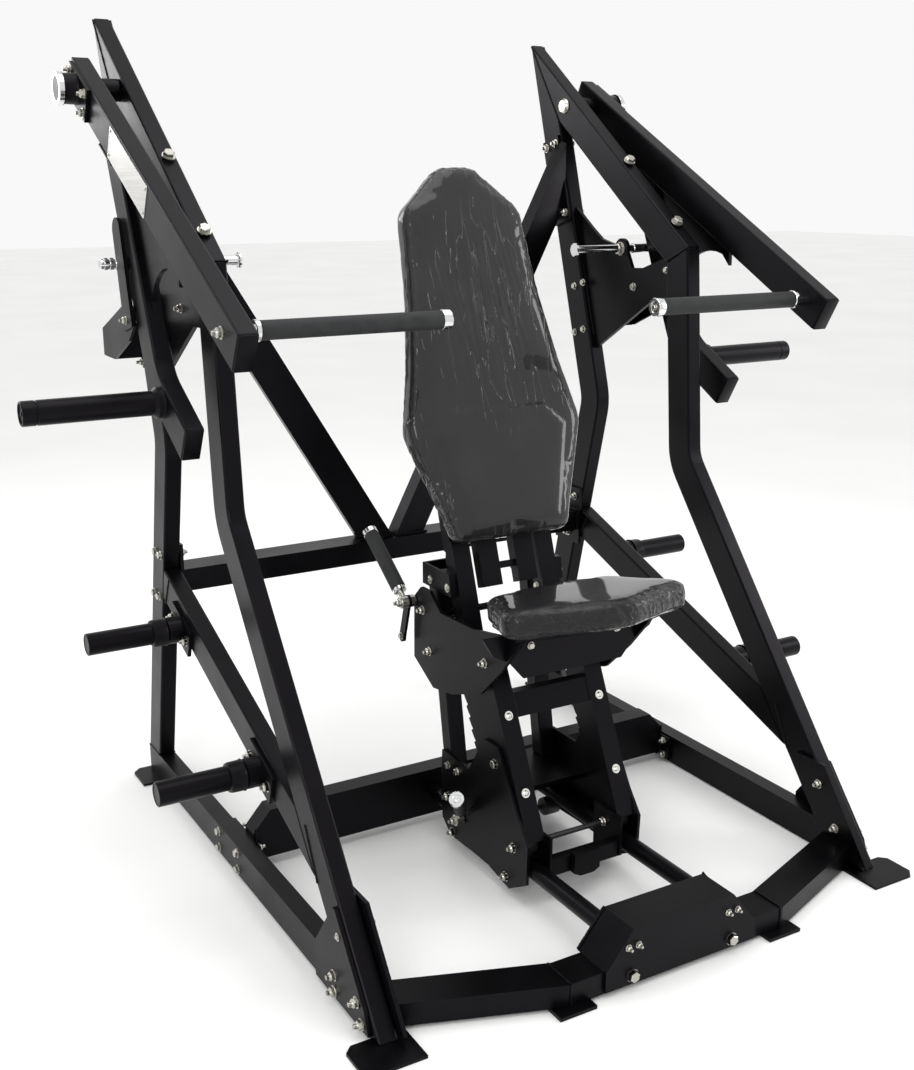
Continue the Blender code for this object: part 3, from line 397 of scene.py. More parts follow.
# side frames --------------------------------------------------------------
frameSteel = {"inner": 0.5850, "outer": 0.6250, "plateOut": 0.6334, "plateIn": 0.5766,
              "topSlope": math.radians(36.45)}
topNormal = (0.0, -math.sin(frameSteel["topSlope"]), math.cos(frameSteel["topSlope"]))
frameBolts = []
for _, side in sides:
    out, back = (side, 0, 0), (-side, 0, 0)
    outer, inner = side * frameSteel["outer"], side * frameSteel["inner"]
    plateOut, plateIn = side * frameSteel["plateOut"], side * frameSteel["plateIn"]
    for y, z in ((-0.472, 0.058), (-0.472, 0.024), (-0.568, 0.058), (-0.588, 0.024)):
        frameBolts.append(("nut", (plateOut, y, z), out, 1.0))
    frameBolts.append(("screw", (plateOut, -0.492, 0.150), out, 0.7))
    for y, z in ((0.052, 0.060), (0.052, 0.020), (0.168, 0.060), (0.168, 0.020)):
        frameBolts.append(("head", (outer, y, z), out, 0.9))
        frameBolts.append(("nut", (plateIn, y, z), back, 0.9))
    for y, z in ((0.512, 0.530), (0.550, 0.530), (0.484, 0.640), (0.522, 0.640)):
        frameBolts.append(("head", (outer, y, z), out, 0.9))
        frameBolts.append(("nut", (plateIn, y, z), back, 0.9))
    for y, z in ((0.612, 1.598), (0.655, 1.586), (0.560, 1.418), (0.603, 1.406)):
        frameBolts.append(("nut", (plateIn, y, z), back, 0.95))
        frameBolts.append(("head", (outer, y, z), out, 0.95))
    for y, z in ((0.462, 1.110), (0.502, 1.098), (0.468, 1.235), (0.508, 1.223)):
        frameBolts.append(("head", (inner, y + 0.012, z), back, 0.8))
        frameBolts.append(("nut", (plateOut, y, z), out, 0.8))
    for y, z in ((0.323, 1.548), (0.125, 1.401)):
        frameBolts.append(("head", (side * 0.605, y - 0.002, z + 0.0005), topNormal, 1.25))
    frameBolts.append(("head", (side * 0.6000, 0.278, 1.236), back, 0.9))
    frameBolts.append(("nut", (side * 0.6100, 0.278, 1.236), out, 0.9))
    frameBolts.append(("head", (side * 0.6000, 0.150, 1.285), back, 0.7))
    for y, z in ((-0.500, 0.165), (-0.560, 0.080)):
        frameBolts.append(("nut", (plateIn, y, z), back, 0.9))
fasteners("frameFasteners", "frame", frameBolts)

welds = []
for _, side in sides:
    for x in (side * frameSteel["inner"], side * frameSteel["outer"]):
        welds.append([(x, 0.752, 1.858), (x, 0.613, 1.657)])      # apex mitre
        welds.append([(x, 0.053, 1.346), (x, 0.137, 1.307)])      # front mitre
        welds.append([(x, 0.602, 0.077), (x, 0.681, 0.077)])      # rear leg on the base beam
        welds.append([(x, -0.534, 0.010), (x, -0.484, 0.074)])    # base beam to the front leg
        welds.append([(x, 0.434, 0.590), (x, 0.468, 0.524)])      # storage beam to the rear leg
        welds.append([(x, -0.336, 0.306), (x, -0.388, 0.206)])    # storage beam to the front leg
    for x in (side * 0.5995, side * 0.6105):                      # stop plate to the legs
        welds.append([(x, 0.138, 1.212), (x, 0.140, 1.302)])
        welds.append([(x, 0.446, 1.094), (x, 0.535, 1.385)])
weldBeads("frameWelds", "frame", welds, 0.0026)
print("side frames dressed")

# cross members ------------------------------------------------------------
boxFront = -0.7226
crossBolts = [("nut", (side * x, boxFront, 0.094), (0, -1, 0), 0.62)
              for _, side in sides for x in (0.136, 0.112)]
crossBolts += [("head", (side * 0.124, boxFront, 0.031), (0, -1, 0), 1.15) for _, side in sides]
fasteners("railBoxFasteners", "frame", crossBolts)
crossWelds = []
for _, side in sides:
    crossWelds.append([(side * 0.2625, -0.7160, 0.0545), (side * 0.2625, -0.6380, 0.0545)])
    crossWelds.append([(side * 0.2625, -0.7160, 0.0545), (side * 0.2625, -0.7160, 0.0080)])
    crossWelds.append([(side * 0.5760, 0.470, 0.602), (side * 0.5760, 0.550, 0.602)])
    crossWelds.append([(side * 0.5760, 0.468, 0.600), (side * 0.5760, 0.468, 0.546)])
    crossWelds.append([(side * 0.5760, 0.064, 0.100), (side * 0.5760, 0.064, 0.024)])
    crossWelds.append([(side * 0.187, -0.629, 0.056), (side * 0.125, -0.629, 0.131)])
    crossWelds.append([(side * 0.030, 0.487, 0.602), (side * 0.100, 0.489, 0.602)])
weldBeads("crossWelds", "frame", crossWelds, 0.0028)

railSize = {"x": 0.1215, "z": 0.0854, "radius": 0.0192, "front": -0.6287}
for label, side in sides:
    r = railSize["radius"]
    profile = [(0.0, 0.0), (0.0, r)] + [(0.693 * i / 6, r) for i in range(1, 6)] + [(0.6932, r), (0.6932, 0.0)]
    lathe(f"{label}RailTube", profile, (side * railSize["x"], railSize["front"], railSize["z"]), (0, 1, 0),
          steel, "frame", (f"{label}_rail",))
print("cross members dressed")

# storage horns and weight horns -------------------------------------------
hornSize = {"radius": 0.0252, "chamfer": 0.0020}
storagePlaces = {"rear": (0.345, 0.498), "front": (-0.126, 0.334)}
beamSlope = math.atan2(0.303, 0.810)
storageBolts = []
for label, side in sides:
    for where, (y, z) in storagePlaces.items():
        r, c = hornSize["radius"], hornSize["chamfer"]
        profile = [(0.0, 0.0), (0.0, 0.0335), (0.003, 0.0318), (0.026, 0.0313), (0.031, 0.0300), (0.033, r)]
        profile += [(0.100, r), (0.179 - c, r), (0.179, r - c), (0.179, r - 0.004)]
        profile += [(0.1755, r - 0.0048), (0.1755, 0.0)]
        lathe(f"{label}StorageSleeve_{where}", profile, (side * 0.6700, y, z), (side, 0, 0), steel, "frame")
        for reach in (-0.047, 0.047):
            spot = (side * 0.6334, y + reach * math.cos(beamSlope), z + reach * math.sin(beamSlope))
            storageBolts.append(("nut", spot, (side, 0, 0), 1.0))
fasteners("storageFasteners", "frame", storageBolts)

for label, side in sides:
    r, c = hornSize["radius"], hornSize["chamfer"]
    y, z = 0.127, 1.064
    profile = [(0.0, 0.0), (0.0, 0.0340), (0.004, 0.0326), (0.012, 0.0322), (0.0155, 0.0290), (0.0200, r)]
    profile += [(0.130, r), (0.248, r), (0.2495, r - 0.0012), (0.2512, r - 0.0012), (0.2525, r)]
    profile += [(0.2795 - c, r)]
    profile += [(0.2795, r - c), (0.2795, r - 0.0045), (0.2765, r - 0.0055), (0.2765, 0.006), (0.2785, 0.004)]
    profile += [(0.2785, 0.0)]
    lathe(f"{label}WeightSleeve", profile, (side * 0.7124, y, z), (side, 0, 0), steel, f"{label}_arm",
          (f"{label}_weight_horn",), 48)
print("horns made")

# press arms ---------------------------------------------------------------
armSize = {"x": 0.692, "half": 0.020, "slope": math.radians(28.53), "pivot": (0.588, 1.694)}
armAlong = (0.0, math.cos(armSize["slope"]), math.sin(armSize["slope"]))
armUp = (0.0, -math.sin(armSize["slope"]), math.cos(armSize["slope"]))


def armPoint(x, along, up):
    # along the arm from its pivot, and square to it
    y, z = armSize["pivot"]
    return (x, y + armAlong[1] * along + armUp[1] * up, z + armAlong[2] * along + armUp[2] * up)


capSize = {"wide": 0.0372, "thick": 0.0030, "sunk": 0.0008}


def capPlate(name, centre, alongAxis, upAxis, high, body):
    # a thin rounded end plate let into the end of a tube
    shape = bmesh.new()
    placing = columns((1, 0, 0), upAxis, alongAxis, centre)
    size = Matrix.Diagonal((capSize["wide"], high, capSize["thick"], 1.0))
    bmesh.ops.create_cube(shape, size=1.0, matrix=placing @ size)
    bmesh.ops.bevel(shape, geom=shape.edges[:], offset=capSize["thick"] * 0.45, segments=2, profile=0.5,
                    affect="EDGES", material=-1)
    return finishPiece(name, shape, steel, body)


handleSize = {"y": -0.243, "z": 1.240, "inner": 0.2500, "grip": 0.0182}
armBolts = {"left": [], "right": []}
for label, side in sides:
    body = f"{label}_arm"
    # front and rear end plates, welded and dressed flush
    armX, sunk = side * armSize["x"], capSize["sunk"]
    centreFront = (armX, -0.305 - sunk * armAlong[1], 1.2086 - sunk * armAlong[2])
    capPlate(f"{label}ArmFrontCap", centreFront, armAlong, armUp, 0.0772, body)
    centreRear = (armX, 0.653 + sunk * armAlong[1], 1.7296 + sunk * armAlong[2])
    capPlate(f"{label}ArmRearCap", centreRear, armAlong, armUp, 0.0772, body)
    hornAlong = Vector((0.0, 0.172, 0.097)).normalized()
    hornUp = Vector((0.0, -hornAlong.z, hornAlong.y))
    centreHorn = Vector((armX, 0.005, 0.995)) - hornAlong * sunk
    capPlate(f"{label}HornArmCap", centreHorn, hornAlong, hornUp, 0.0742, body)
    # handle: foam grip, turned collar at the arm, turned cap with its bolt at the tip
    y, z, start = handleSize["y"], handleSize["z"], handleSize["inner"]
    g = handleSize["grip"]
    gripProfile = [(0.0, 0.010), (0.0, g - 0.0015), (0.0015, g)]
    gripProfile += [(0.372 * i / 10, g) for i in range(1, 10)]
    gripProfile += [(0.3705, g), (0.372, g - 0.0015), (0.372, 0.010)]
    gripPiece = lathe(f"{label}HandleGrip", gripProfile, (side * (start + 0.0195), y, z), (side, 0, 0), rubber,
                      body, (f"{label}_press_handle",))
    capProfile = [(0.0040, 0.0), (0.0040, 0.0085), (0.0030, 0.0115), (0.0005, 0.0125), (0.0, 0.0150),
                  (0.0006, 0.0186), (0.0022, 0.0198), (0.0180, 0.0198), (0.0196, 0.0188), (0.0196, 0.0)]
    lathe(f"{label}HandleCap", capProfile, (side * start, y, z), (side, 0, 0), chrome, body)
    rootProfile = [(0.0, 0.0), (0.0, 0.0188), (0.0015, 0.0202), (0.0090, 0.0202), (0.0105, 0.0190),
                   (0.0105, 0.0135), (0.0290, 0.0135), (0.0290, 0.0)]
    lathe(f"{label}HandleCollar", rootProfile, (side * 0.6420, y, z), (side, 0, 0), chrome, body)
    armBolts[label].append(("head", (side * (start + 0.0035), y, z), (-side, 0, 0), 0.62))
    armBolts[label].append(("nut", (side * 0.7122, y, z), (side, 0, 0), 1.05))
    # pivot: smooth housing, dished chrome cap, axle nut
    py, pz = armSize["pivot"]
    housing = [(0.0, 0.0), (0.0, 0.0350), (0.0030, 0.0332), (0.0265, 0.0326), (0.0265, 0.0)]
    lathe(f"{label}PivotHousing", housing, (side * 0.7205, py, pz), (side, 0, 0), steel, body, (), 48)
    dish = [(0.0, 0.0), (0.0, 0.0345), (0.0012, 0.0358), (0.0108, 0.0358), (0.0125, 0.0345), (0.0125, 0.0265),
            (0.0098, 0.0245), (0.0098, 0.0125), (0.0112, 0.0118), (0.0112, 0.0)]
    lathe(f"{label}PivotCap", dish, (side * 0.7500, py, pz), (side, 0, 0), chrome, body, (), 48)
    for along, up in ((-0.070, 0.022), (-0.070, -0.022), (0.045, 0.024), (0.045, -0.024)):
        armBolts[label].append(("nut", armPoint(side * 0.7204, along, up), (side, 0, 0), 0.95))
    fasteners(f"{label}ArmFasteners", body, armBolts[label])
    # axle: collar between beam and arm, flanged head inside the beam
    collar = [(0.0, 0.0), (0.0, 0.0232), (0.0015, 0.0244), (0.0365, 0.0244), (0.0380, 0.0232), (0.0380, 0.0)]
    lathe(f"{label}AxleCollar", collar, (side * 0.6254, py, pz), (side, 0, 0), steel, "frame")
    head = [(0.0, 0.0), (0.0, 0.0150), (0.0025, 0.0172), (0.0060, 0.0205), (0.0078, 0.0210), (0.0078, 0.0)]
    lathe(f"{label}AxleHead", head, (side * 0.5768, py, pz), (side, 0, 0), zinc, "frame",
          (f"{label}_pivot_axle",))
    # welds between the arm, the horn arm and the web
    beads = []
    for x in (side * (armSize["x"] - armSize["half"]), side * (armSize["x"] + armSize["half"])):
        beads.append([(x, 0.373, 1.5315), (x, 0.451, 1.5738)])
    for x in (side * (armSize["x"] - 0.0055), side * (armSize["x"] + 0.0055)):
        beads.append([(x, 0.060, 1.362), (x, 0.350, 1.5195)])
    weldBeads(f"{label}ArmWelds", body, beads, 0.0028)

# blank name plate on the left arm, riveted at its corners
plateSize = {"from": 0.150, "to": 0.378, "high": 0.0705, "thick": 0.0016, "x": -0.7129}
plateMidY = (plateSize["from"] + plateSize["to"]) / 2
plateMid = armPoint(plateSize["x"], (plateMidY - armSize["pivot"][0]) / armAlong[1], -0.0010)
plateLong = (plateSize["to"] - plateSize["from"]) / armAlong[1]
plateShape = bmesh.new()
turnArm = columns(armAlong, armUp, (1, 0, 0), plateMid)
bmesh.ops.create_cube(plateShape, size=1.0,
                      matrix=turnArm @ Matrix.Diagonal((plateLong, plateSize["high"], plateSize["thick"], 1.0)))
corners = [e for e in plateShape.edges if abs((e.verts[1].co - e.verts[0].co).normalized().x) > 0.9]
bmesh.ops.bevel(plateShape, geom=corners, offset=0.006, segments=4, profile=0.5, affect="EDGES", material=-1)
face = min(plateShape.faces, key=lambda f: f.calc_center_median().x)
bmesh.ops.inset_region(plateShape, faces=[face], thickness=0.0035, depth=0.0)
bmesh.ops.inset_region(plateShape, faces=[face], thickness=0.0006, depth=-0.0005)
finishPiece("namePlate", plateShape, aluminium, "left_arm")
rivetShape = bmesh.new()
rivet = {"fromEdge": 0.009, "radius": 0.0030, "rimHigh": 0.0008, "domeHigh": 0.0009, "top": 0.0016}
for u in (-1, 1):
    for v in (-1, 1):
        spot = Vector(plateMid) + Vector(armAlong) * u * (plateLong / 2 - rivet["fromEdge"])
        spot += Vector(armUp) * v * (plateSize["high"] / 2 - rivet["fromEdge"])
        spot.x = plateSize["x"] - plateSize["thick"] / 2
        addPrism(rivetShape, 20, rivet["radius"], rivet["rimHigh"], spot, (-1, 0, 0))
        addPrism(rivetShape, 20, rivet["radius"], rivet["domeHigh"], spot, (-1, 0, 0), rivet["rimHigh"],
                 rivet["top"])
finishPiece("namePlateRivets", rivetShape, zinc, "left_arm")
print("press arms made")

# stop pegs ----------------------------------------------------------------
pegPlace = (0.3375, 1.330)
for label, side in sides:
    head = [(0.0, 0.0), (0.0, 0.0150), (0.0014, 0.0168), (0.0056, 0.0168), (0.0070, 0.0150), (0.0070, 0.0102),
            (0.060, 0.0102), (0.150, 0.0102), (0.1870, 0.0102), (0.1870, 0.0124), (0.1900, 0.0127),
            (0.2540, 0.0127)]
    steps = []
    for ring in range(4):
        low = 0.2560 + ring * 0.0120
        steps += [(low, 0.0108), (low + 0.0030, 0.0108), (low + 0.0034, 0.0132), (low + 0.0106, 0.0132),
                  (low + 0.0110, 0.0108)]
    tip = [(0.3060, 0.0108), (0.3100, 0.0104), (0.3120, 0.0085), (0.3120, 0.0)]
    lathe(f"{label}StopPeg", head + steps + tip, (side * 0.4500, *pegPlace), (side, 0, 0), chrome, "frame",
          (f"{label}_stop_peg",))
    fasteners(f"{label}StopNuts", "frame", [("nut", (side * 0.7237, 0.300, 1.2150), (side, 0, 0), 0.8),
                                            ("head", (side * 0.5998, *pegPlace), (-side, 0, 0), 1.5)])
print("stops made")

# carriage -----------------------------------------------------------------
rollerRows = {"front_upper_rollers": (-0.339, 0.1267), "front_lower_rollers": (-0.309, 0.0441),
              "rear_upper_rollers": (-0.060, 0.1267), "rear_lower_rollers": (-0.079, 0.0441)}
for body, (y, z) in rollerRows.items():
    shape = bmesh.new()
    for side in (-1.0, 1.0):
        wheel = [(0.0, 0.0), (0.0, 0.0090), (0.0008, 0.0150), (0.0008, 0.0195), (0.0024, 0.0212),
                 (0.0090, 0.02195), (0.0330, 0.02195), (0.0398, 0.0212), (0.0414, 0.0195), (0.0414, 0.0150),
                 (0.0420, 0.0090), (0.0420, 0.0)]
        addLathe(shape, wheel, (side * 0.0992, y, z), (side, 0, 0), 36)
    addPrism(shape, 20, 0.0060, 0.198, (-0.099, y, z), (1, 0, 0))
    finishPiece(f"{body}_tyres", shape, nylon, body, (body,))

carriageBolts = []
for side in (-1.0, 1.0):
    out = (side, 0, 0)
    for y, z in ((-0.339, 0.1267), (-0.309, 0.0441), (-0.079, 0.0441), (-0.060, 0.1267)):
        carriageBolts.append(("nut", (side * 0.1490, y, z), out, 0.95))
    carriageBolts.append(("head", (side * 0.1490, -0.262, 0.290), out, 0.95))
    for y, z in ((-0.060, 0.205), (-0.100, 0.205)):
        carriageBolts.append(("head", (side * 0.1490, y, z), out, 0.8))
for side in (-1.0, 1.0):
    carriageBolts.append(("nut", (side * 0.0880, -0.339, 0.1267), (-side, 0, 0), 0.9))
fasteners("carriageFasteners", "carriage", carriageBolts)
postSlope = 0.462
postNormal = Vector((0.0, -1.0, postSlope)).normalized()
whiteScrews = []
for side in (-1.0, 1.0):
    for z in (0.245, 0.396):
        y = -0.377 + postSlope * (z - 0.156)
        whiteScrews.append(("screw", (side * 0.119, y, z), postNormal, 0.85))
fasteners("postScrews", "carriage", whiteScrews, screwWhite)
carriageWelds = []
for side in (-1.0, 1.0):
    carriageWelds.append([(side * 0.0958, -0.374 + postSlope * (z - 0.156), z) for z in (0.388, 0.436)])
    carriageWelds.append([(side * 0.1418, -0.385, 0.150), (side * 0.1418, -0.250, 0.322)])
    carriageWelds.append([(side * 0.1012, -0.070, 0.1715), (side * 0.1412, -0.070, 0.1715)])
weldBeads("carriageWelds", "carriage", carriageWelds, 0.0024)
print("carriage dressed")


# levers -------------------------------------------------------------------
def gripLever(name, body, replaced, size):
    root, tip = Vector(size["root"]), Vector(size["tip"])
    axis = (tip - root).normalized()
    length = (tip - root).length
    r = size["radius"]
    profile = [(0.0, 0.006), (0.0, r - 0.0012), (0.0012, r)] + [(length * i / 6, r) for i in range(1, 6)]
    profile += [(length - 0.0012, r), (length, r - 0.0012), (length, 0.006)]
    grip = lathe(f"{name}Grip", profile, root, axis, rubber, body, replaced)
    c, end = size["cap"], size["capLong"]
    capShape = [(0.0, 0.0), (0.0, c - 0.001), (0.001, c), (end - 0.0015, c), (end, c - 0.0015), (end, c * 0.55),
                (end - 0.0015, c * 0.48), (end - 0.0015, c * 0.22), (end - 0.0005, c * 0.18),
                (end - 0.0005, 0.0)]
    lathe(f"{name}Cap", capShape, tip, axis, chrome, body)
    collarShape = [(0.0, 0.0), (0.0, r * 0.7), (0.002, r * 0.92), (0.010, r * 0.92), (0.012, r * 0.8),
                   (0.012, 0.0)]
    lathe(f"{name}Collar", collarShape, root - axis * 0.012, axis, chrome, body)


seatLever = {"root": (-0.193, 0.092, 0.596), "tip": (-0.193, 0.228, 0.692), "radius": 0.0170, "cap": 0.0178,
             "capLong": 0.013}
gripLever("seatLever", "seat_release_lever", ("seat_lever",), seatLever)
shape = bmesh.new()
addLathe(shape, [(0.0, 0.0), (0.0, 0.0130), (0.0015, 0.0142), (0.0355, 0.0142), (0.037, 0.0130), (0.037, 0.0)],
         (-0.1698, 0.060, 0.572), (-1, 0, 0), 32)
addPrism(shape, 20, 0.0072, 0.044, (-0.193, 0.058, 0.571), Vector((0, 0.136, 0.096)))
finishPiece("seatLeverHub", shape, zinc, "seat_release_lever")
shape = bmesh.new()
pawl = Vector((0.0, 0.028, -0.094))
pawlAlong = pawl.normalized()
for reach, radius in ((0.0, 0.0150), (pawl.length, 0.0115)):
    addPrism(shape, 28, radius, 0.007, Vector((-0.1825, 0.060, 0.572)) + pawlAlong * reach, (-1, 0, 0))
barMatrix = columns((1, 0, 0), pawlAlong.cross(Vector((1, 0, 0))), pawlAlong,
                    (-0.1860, 0.060 + pawl.y / 2, 0.572 + pawl.z / 2))
bmesh.ops.create_cube(shape, size=1.0, matrix=barMatrix @ Matrix.Diagonal((0.0068, 0.021, pawl.length, 1.0)))
finishPiece("seatLeverPawl", shape, steel, "seat_release_lever")
fasteners("seatLeverFasteners", "seat_release_lever",
          [("nut", (-0.2068, 0.060, 0.572), (-1, 0, 0), 0.9),
           ("head", (-0.1896, 0.087, 0.481), (-1, 0, 0), 0.7)])

lockAxis = Vector((-0.450, -0.630, 0.630)).normalized()
lockRoot = Vector((-0.1655, -0.1440, 0.1294))
lockLever = {"root": lockRoot + lockAxis * 0.012, "tip": lockRoot + lockAxis * 0.112, "radius": 0.0142,
             "cap": 0.0172, "capLong": 0.014}
gripLever("lockLever", "carriage_lock_lever", ("lock_lever",), lockLever)
shape = bmesh.new()
addLathe(shape, [(0.0, 0.0), (0.0, 0.0120), (0.0012, 0.0132), (0.0208, 0.0132), (0.022, 0.0120), (0.022, 0.0)],
         (-0.1496, -0.125, 0.100), (-1, 0, 0), 28)
addPrism(shape, 18, 0.0058, 0.040, (-0.1640, -0.125, 0.100), lockRoot - Vector((-0.1640, -0.125, 0.100)))
finishPiece("lockLeverHub", shape, zinc, "carriage_lock_lever")
fasteners("lockLeverFasteners", "carriage_lock_lever", [("nut", (-0.1716, -0.125, 0.100), (-1, 0, 0), 0.8)])
print("levers made")

# seat carrier and uprights ------------------------------------------------
seatBolts = []
for side in (-1.0, 1.0):
    for y, z in ((-0.010, 0.470), (0.020, 0.560), (-0.250, 0.520)):
        seatBolts.append(("nut", (side * 0.1692, y, z), (side, 0, 0), 0.9))
seatBolts += [("head", (x, -0.3334, 0.575), (0, -1, 0), 0.7) for x in (-0.11, 0.11)]
fasteners("seatFasteners", "seat", seatBolts)
boxBolts = []
for side in (-1.0, 1.0):
    for y in (-0.058, 0.020):
        boxBolts.append(("screw", (side * 0.1497, y, 0.630), (side, 0, 0), 0.85))
    boxBolts.append(("head", (side * 0.0873, -0.060, 0.600), (-side, 0, 0), 0.7))
    boxBolts.append(("nut", (side * 0.1440, -0.006, 0.649), (-side, 0, 0), 0.8))
fasteners("uprightFasteners", "carriage", boxBolts)


# pads ---------------------------------------------------------------------
def inside(point, polygon):
    hit = False
    for (ax, ay), (bx, by) in zip(polygon, polygon[1:] + polygon[:1]):
        if (ay > point[1]) != (by > point[1]) and point[0] < (bx - ax) * (point[1] - ay) / (by - ay) + ax:
            hit = not hit
    return hit


def edgeDistance(point, polygon):
    best = 1e9
    for (ax, ay), (bx, by) in zip(polygon, polygon[1:] + polygon[:1]):
        dx, dy = bx - ax, by - ay
        t = max(0.0, min(1.0, ((point[0] - ax) * dx + (point[1] - ay) * dy) / (dx * dx + dy * dy)))
        best = min(best, math.hypot(point[0] - ax - dx * t, point[1] - ay - dy * t))
    return best


def padShape(name, outline, size):
    # outline in the pad's own plane: x across, y along, z out of the face; back face at -thick
    shape = bmesh.new()
    ring = [shape.verts.new((x, y, -size["thick"] + size["shrink"])) for x, y in outline]
    base = shape.faces.new(ring)
    made = bmesh.ops.extrude_face_region(shape, geom=[base])
    top = [v for v in made["geom"] if isinstance(v, bmesh.types.BMVert)]
    bmesh.ops.translate(shape, verts=top, vec=(0, 0, size["thick"] - 2 * size["shrink"]))
    bmesh.ops.recalc_face_normals(shape, faces=shape.faces)
    upright = [e for e in shape.edges if abs(e.verts[0].co.z - e.verts[1].co.z) > 0.01]
    bmesh.ops.bevel(shape, geom=upright, offset=size["corner"], segments=4, profile=0.5, affect="EDGES",
                    material=-1)
    rims = [e for e in shape.edges if abs(e.verts[0].co.z - e.verts[1].co.z) < 0.001]
    bmesh.ops.bevel(shape, geom=rims, offset=size["round"], segments=4, profile=0.5, affect="EDGES",
                    material=-1)
    mesh = bpy.data.meshes.new(name)
    shape.to_mesh(mesh)
    shape.free()
    pad = bpy.data.objects.new(name, mesh)
    bpy.context.scene.collection.objects.link(pad)
    remesh = pad.modifiers.new("remesh", "REMESH")
    remesh.mode = "VOXEL"
    remesh.voxel_size = size["voxel"]
    bpy.context.view_layer.update()
    fine = bpy.data.meshes.new_from_object(pad.evaluated_get(bpy.context.evaluated_depsgraph_get()))
    pad.modifiers.clear()
    pad.data = fine
    return pad


clothRun = {"steps": 20, "stretch": 40.0, "bend": 2.0}


def inflate(pad, size):
    # a short cloth run with air pressure rounds the pad as foam under tight vinyl does,
    # and each point's move is capped
    rest = np.array([v.co for v in pad.data.vertices])
    cloth = pad.modifiers.new("cloth", "CLOTH")
    cloth.settings.use_pressure = True
    cloth.settings.uniform_pressure_force = size["pressure"]
    cloth.settings.effector_weights.gravity = 0.0
    cloth.settings.quality = 5
    cloth.settings.tension_stiffness = clothRun["stretch"]
    cloth.settings.compression_stiffness = clothRun["stretch"]
    cloth.settings.bending_stiffness = clothRun["bend"]
    cloth.point_cache.frame_start = 1
    cloth.point_cache.frame_end = clothRun["steps"]
    for step in range(1, clothRun["steps"] + 1):
        bpy.context.scene.frame_set(step)
    moved = bpy.data.meshes.new_from_object(pad.evaluated_get(bpy.context.evaluated_depsgraph_get()))
    result = np.array([v.co for v in moved.vertices])
    pad.modifiers.clear()
    bpy.context.scene.frame_set(1)
    shift = result - rest
    length = np.linalg.norm(shift, axis=1, keepdims=True)
    shift *= np.minimum(1.0, size["cap"] / np.maximum(length, 1e-9))
    pad.data.vertices.foreach_set("co", (rest + shift).astype(np.float32).ravel())
    pad.data.update()


def peakRidge(value, sharpness):
    return max(0.0, 1.0 - abs(value) * sharpness)


def finishPad(pad, size, material, body, node, place):
    # subdivide, sculpt in the pad's own plane, then carry it to its place
    divide = pad.modifiers.new("divide", "SUBSURF")
    divide.levels = divide.render_levels = 1
    bpy.context.view_layer.update()
    mesh = bpy.data.meshes.new_from_object(pad.evaluated_get(bpy.context.evaluated_depsgraph_get()))
    pad.modifiers.clear()
    pad.data = mesh
    crease = mesh.attributes.new("crease", "FLOAT", "POINT")
    normals = [v.normal.copy() for v in mesh.vertices]
    for index, vertex in enumerate(mesh.vertices):
        lift, amount = size["sculpt"](vertex.co, normals[index])
        crease.data[index].value = amount
        vertex.co += normals[index] * lift
    mesh.transform(place)
    mesh.update()
    mesh.materials.clear()
    mesh.materials.append(material)
    mesh.shade_smooth()
    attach(pad, body)
    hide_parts(node)


coffin = [(0.146, 0.0), (0.234, 0.254), (0.202, 0.400), (0.176, 0.560), (0.157, 0.757), (0.045, 0.855)]
coffin += [(-x, y) for x, y in coffin[::-1]]
panel = [(-0.118, 0.030), (0.118, 0.030), (0.176, 0.250), (0.118, 0.305), (-0.118, 0.305), (-0.176, 0.250)]
seatOutline = [(0.030, 0.0), (0.225, 0.080), (0.238, 0.112), (0.170, 0.285), (0.080, 0.312)]
seatOutline += [(-x, y) for x, y in seatOutline[::-1]]
backRelief = {"crown": 0.0040, "panel": 0.0026, "streak": 0.0009, "gather": 0.0022}
seatRelief = {"crown": 0.0030, "rim": 0.0004, "frontRim": 0.0022}


def near(distance, reach):
    return math.exp(-(distance / reach) ** 2)


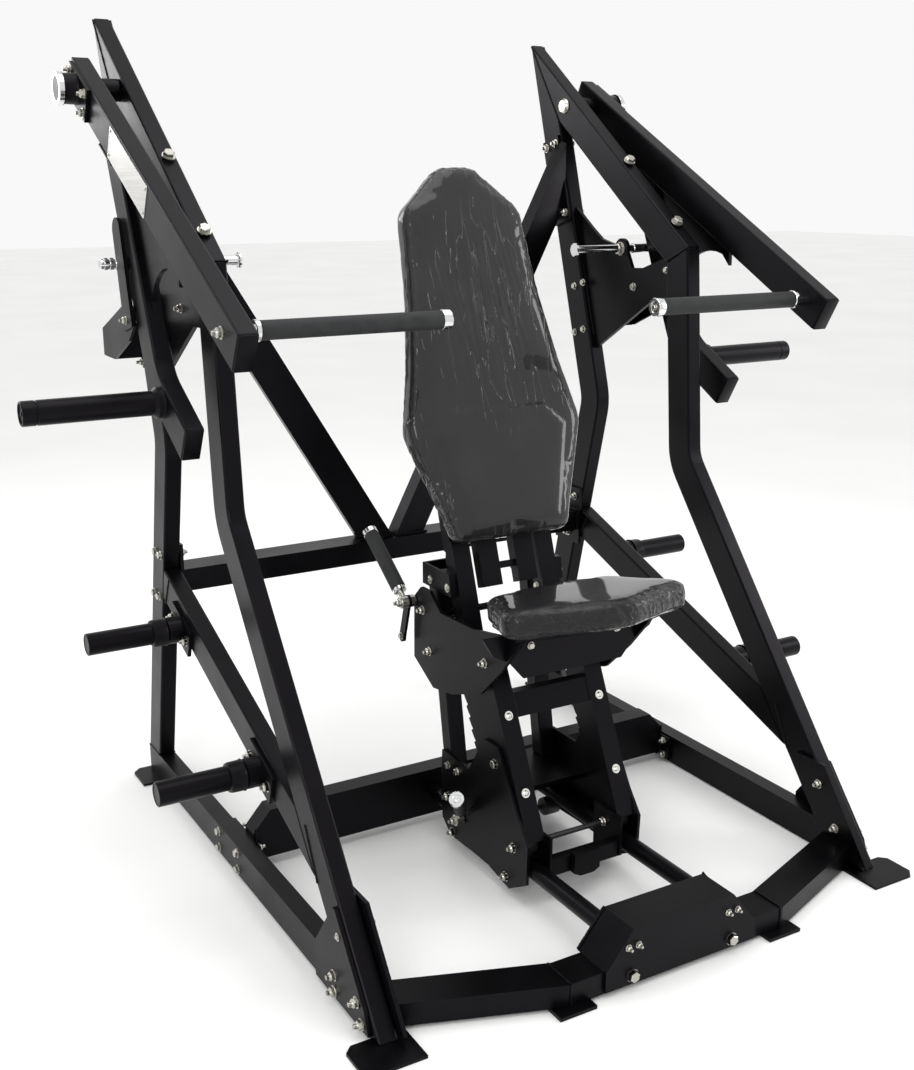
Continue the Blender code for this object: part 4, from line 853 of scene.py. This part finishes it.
def backSculpt(place, normal):
    x, y = place.x, place.y
    front = max(0.0, normal.z)
    edge = edgeDistance((x, y), coffin)
    # crowned middle, and a lower panel that stands a little proud
    lift = front * backRelief["crown"] * (1.0 - near(edge, 0.055))
    if inside((x, y), panel):
        lift += front * backRelief["panel"] * (1.0 - near(edgeDistance((x, y), panel), 0.012))
    # streaks of stretched film run up the middle, and gathers pull in at the lower left, upper right
    # and top edges
    middle = near(y - 0.53, 0.17) * near(x - 0.02, 0.12) * front
    streak = noise.noise(Vector(((x + 0.08 * y) * 62.0, y * 4.0, 3.0)))
    lift += middle * backRelief["streak"] * peakRidge(streak, 5.0)
    rim = near(edge, 0.028)
    gathered = max(near(y - 0.12, 0.16) * (x < 0.0), near(y - 0.66, 0.12) * (x > 0.0), near(y - 0.84, 0.05),
                   0.12)
    crinkle = noise.noise(Vector((x * 48.0, y * 30.0, place.z * 40.0)))
    lift += rim * gathered * backRelief["gather"] * peakRidge(crinkle, 4.0)
    return lift, min(1.0, middle + 0.9 * rim * gathered)


def seatSculpt(place, normal):
    x, y = place.x, place.y
    edge = edgeDistance((x, y), seatOutline)
    rim = near(edge, 0.016)
    front = near(y, 0.11)
    crinkle = noise.noise(Vector((x * 60.0 + place.z * 45.0, y * 40.0, place.z * 60.0)))
    lift = max(0.0, normal.z) * seatRelief["crown"] * (1.0 - near(edge, 0.045))
    lift += rim * (seatRelief["rim"] + seatRelief["frontRim"] * front) * peakRidge(crinkle, 3.5)
    return lift, min(1.0, rim * (0.25 + 0.9 * front))


def shrunk(outline, amount):
    # each corner pulled towards the middle by the same distance
    middleX = sum(p[0] for p in outline) / len(outline)
    middleY = sum(p[1] for p in outline) / len(outline)
    result = []
    for x, y in outline:
        away = math.hypot(x - middleX, y - middleY)
        result.append((x - (x - middleX) / away * amount, y - (y - middleY) / away * amount))
    return result


padSizes = {
    "backPad": {"thick": 0.062, "shrink": 0.005, "corner": 0.020, "round": 0.014, "voxel": 0.006,
                "pressure": 4.0, "cap": 0.006, "fill": 0.85, "sculpt": backSculpt},
    "seatPad": {"thick": 0.060, "shrink": 0.004, "corner": 0.014, "round": 0.013, "voxel": 0.005,
                "pressure": 4.0, "cap": 0.005, "fill": 0.85, "sculpt": seatSculpt},
}
backPlace = Matrix.Translation((0.0, -0.117, 0.734)) @ Matrix.Rotation(math.pi / 2 - padLean["back"], 4, "X")
seatPlace = Matrix.Translation((0.015, -0.490, 0.694)) @ Matrix.Rotation(-padLean["seat"], 4, "X")
backPad = padShape("backPad", shrunk(coffin, 0.006), padSizes["backPad"])
seatPad = padShape("seatPad", shrunk(seatOutline, 0.005), padSizes["seatPad"])
inflate(backPad, padSizes["backPad"])
inflate(seatPad, padSizes["seatPad"])
finishPad(backPad, padSizes["backPad"], backVinyl, "carriage", "back_pad", backPlace)
finishPad(seatPad, padSizes["seatPad"], seatVinyl, "seat", "seat_pad", seatPlace)
print("pads made")
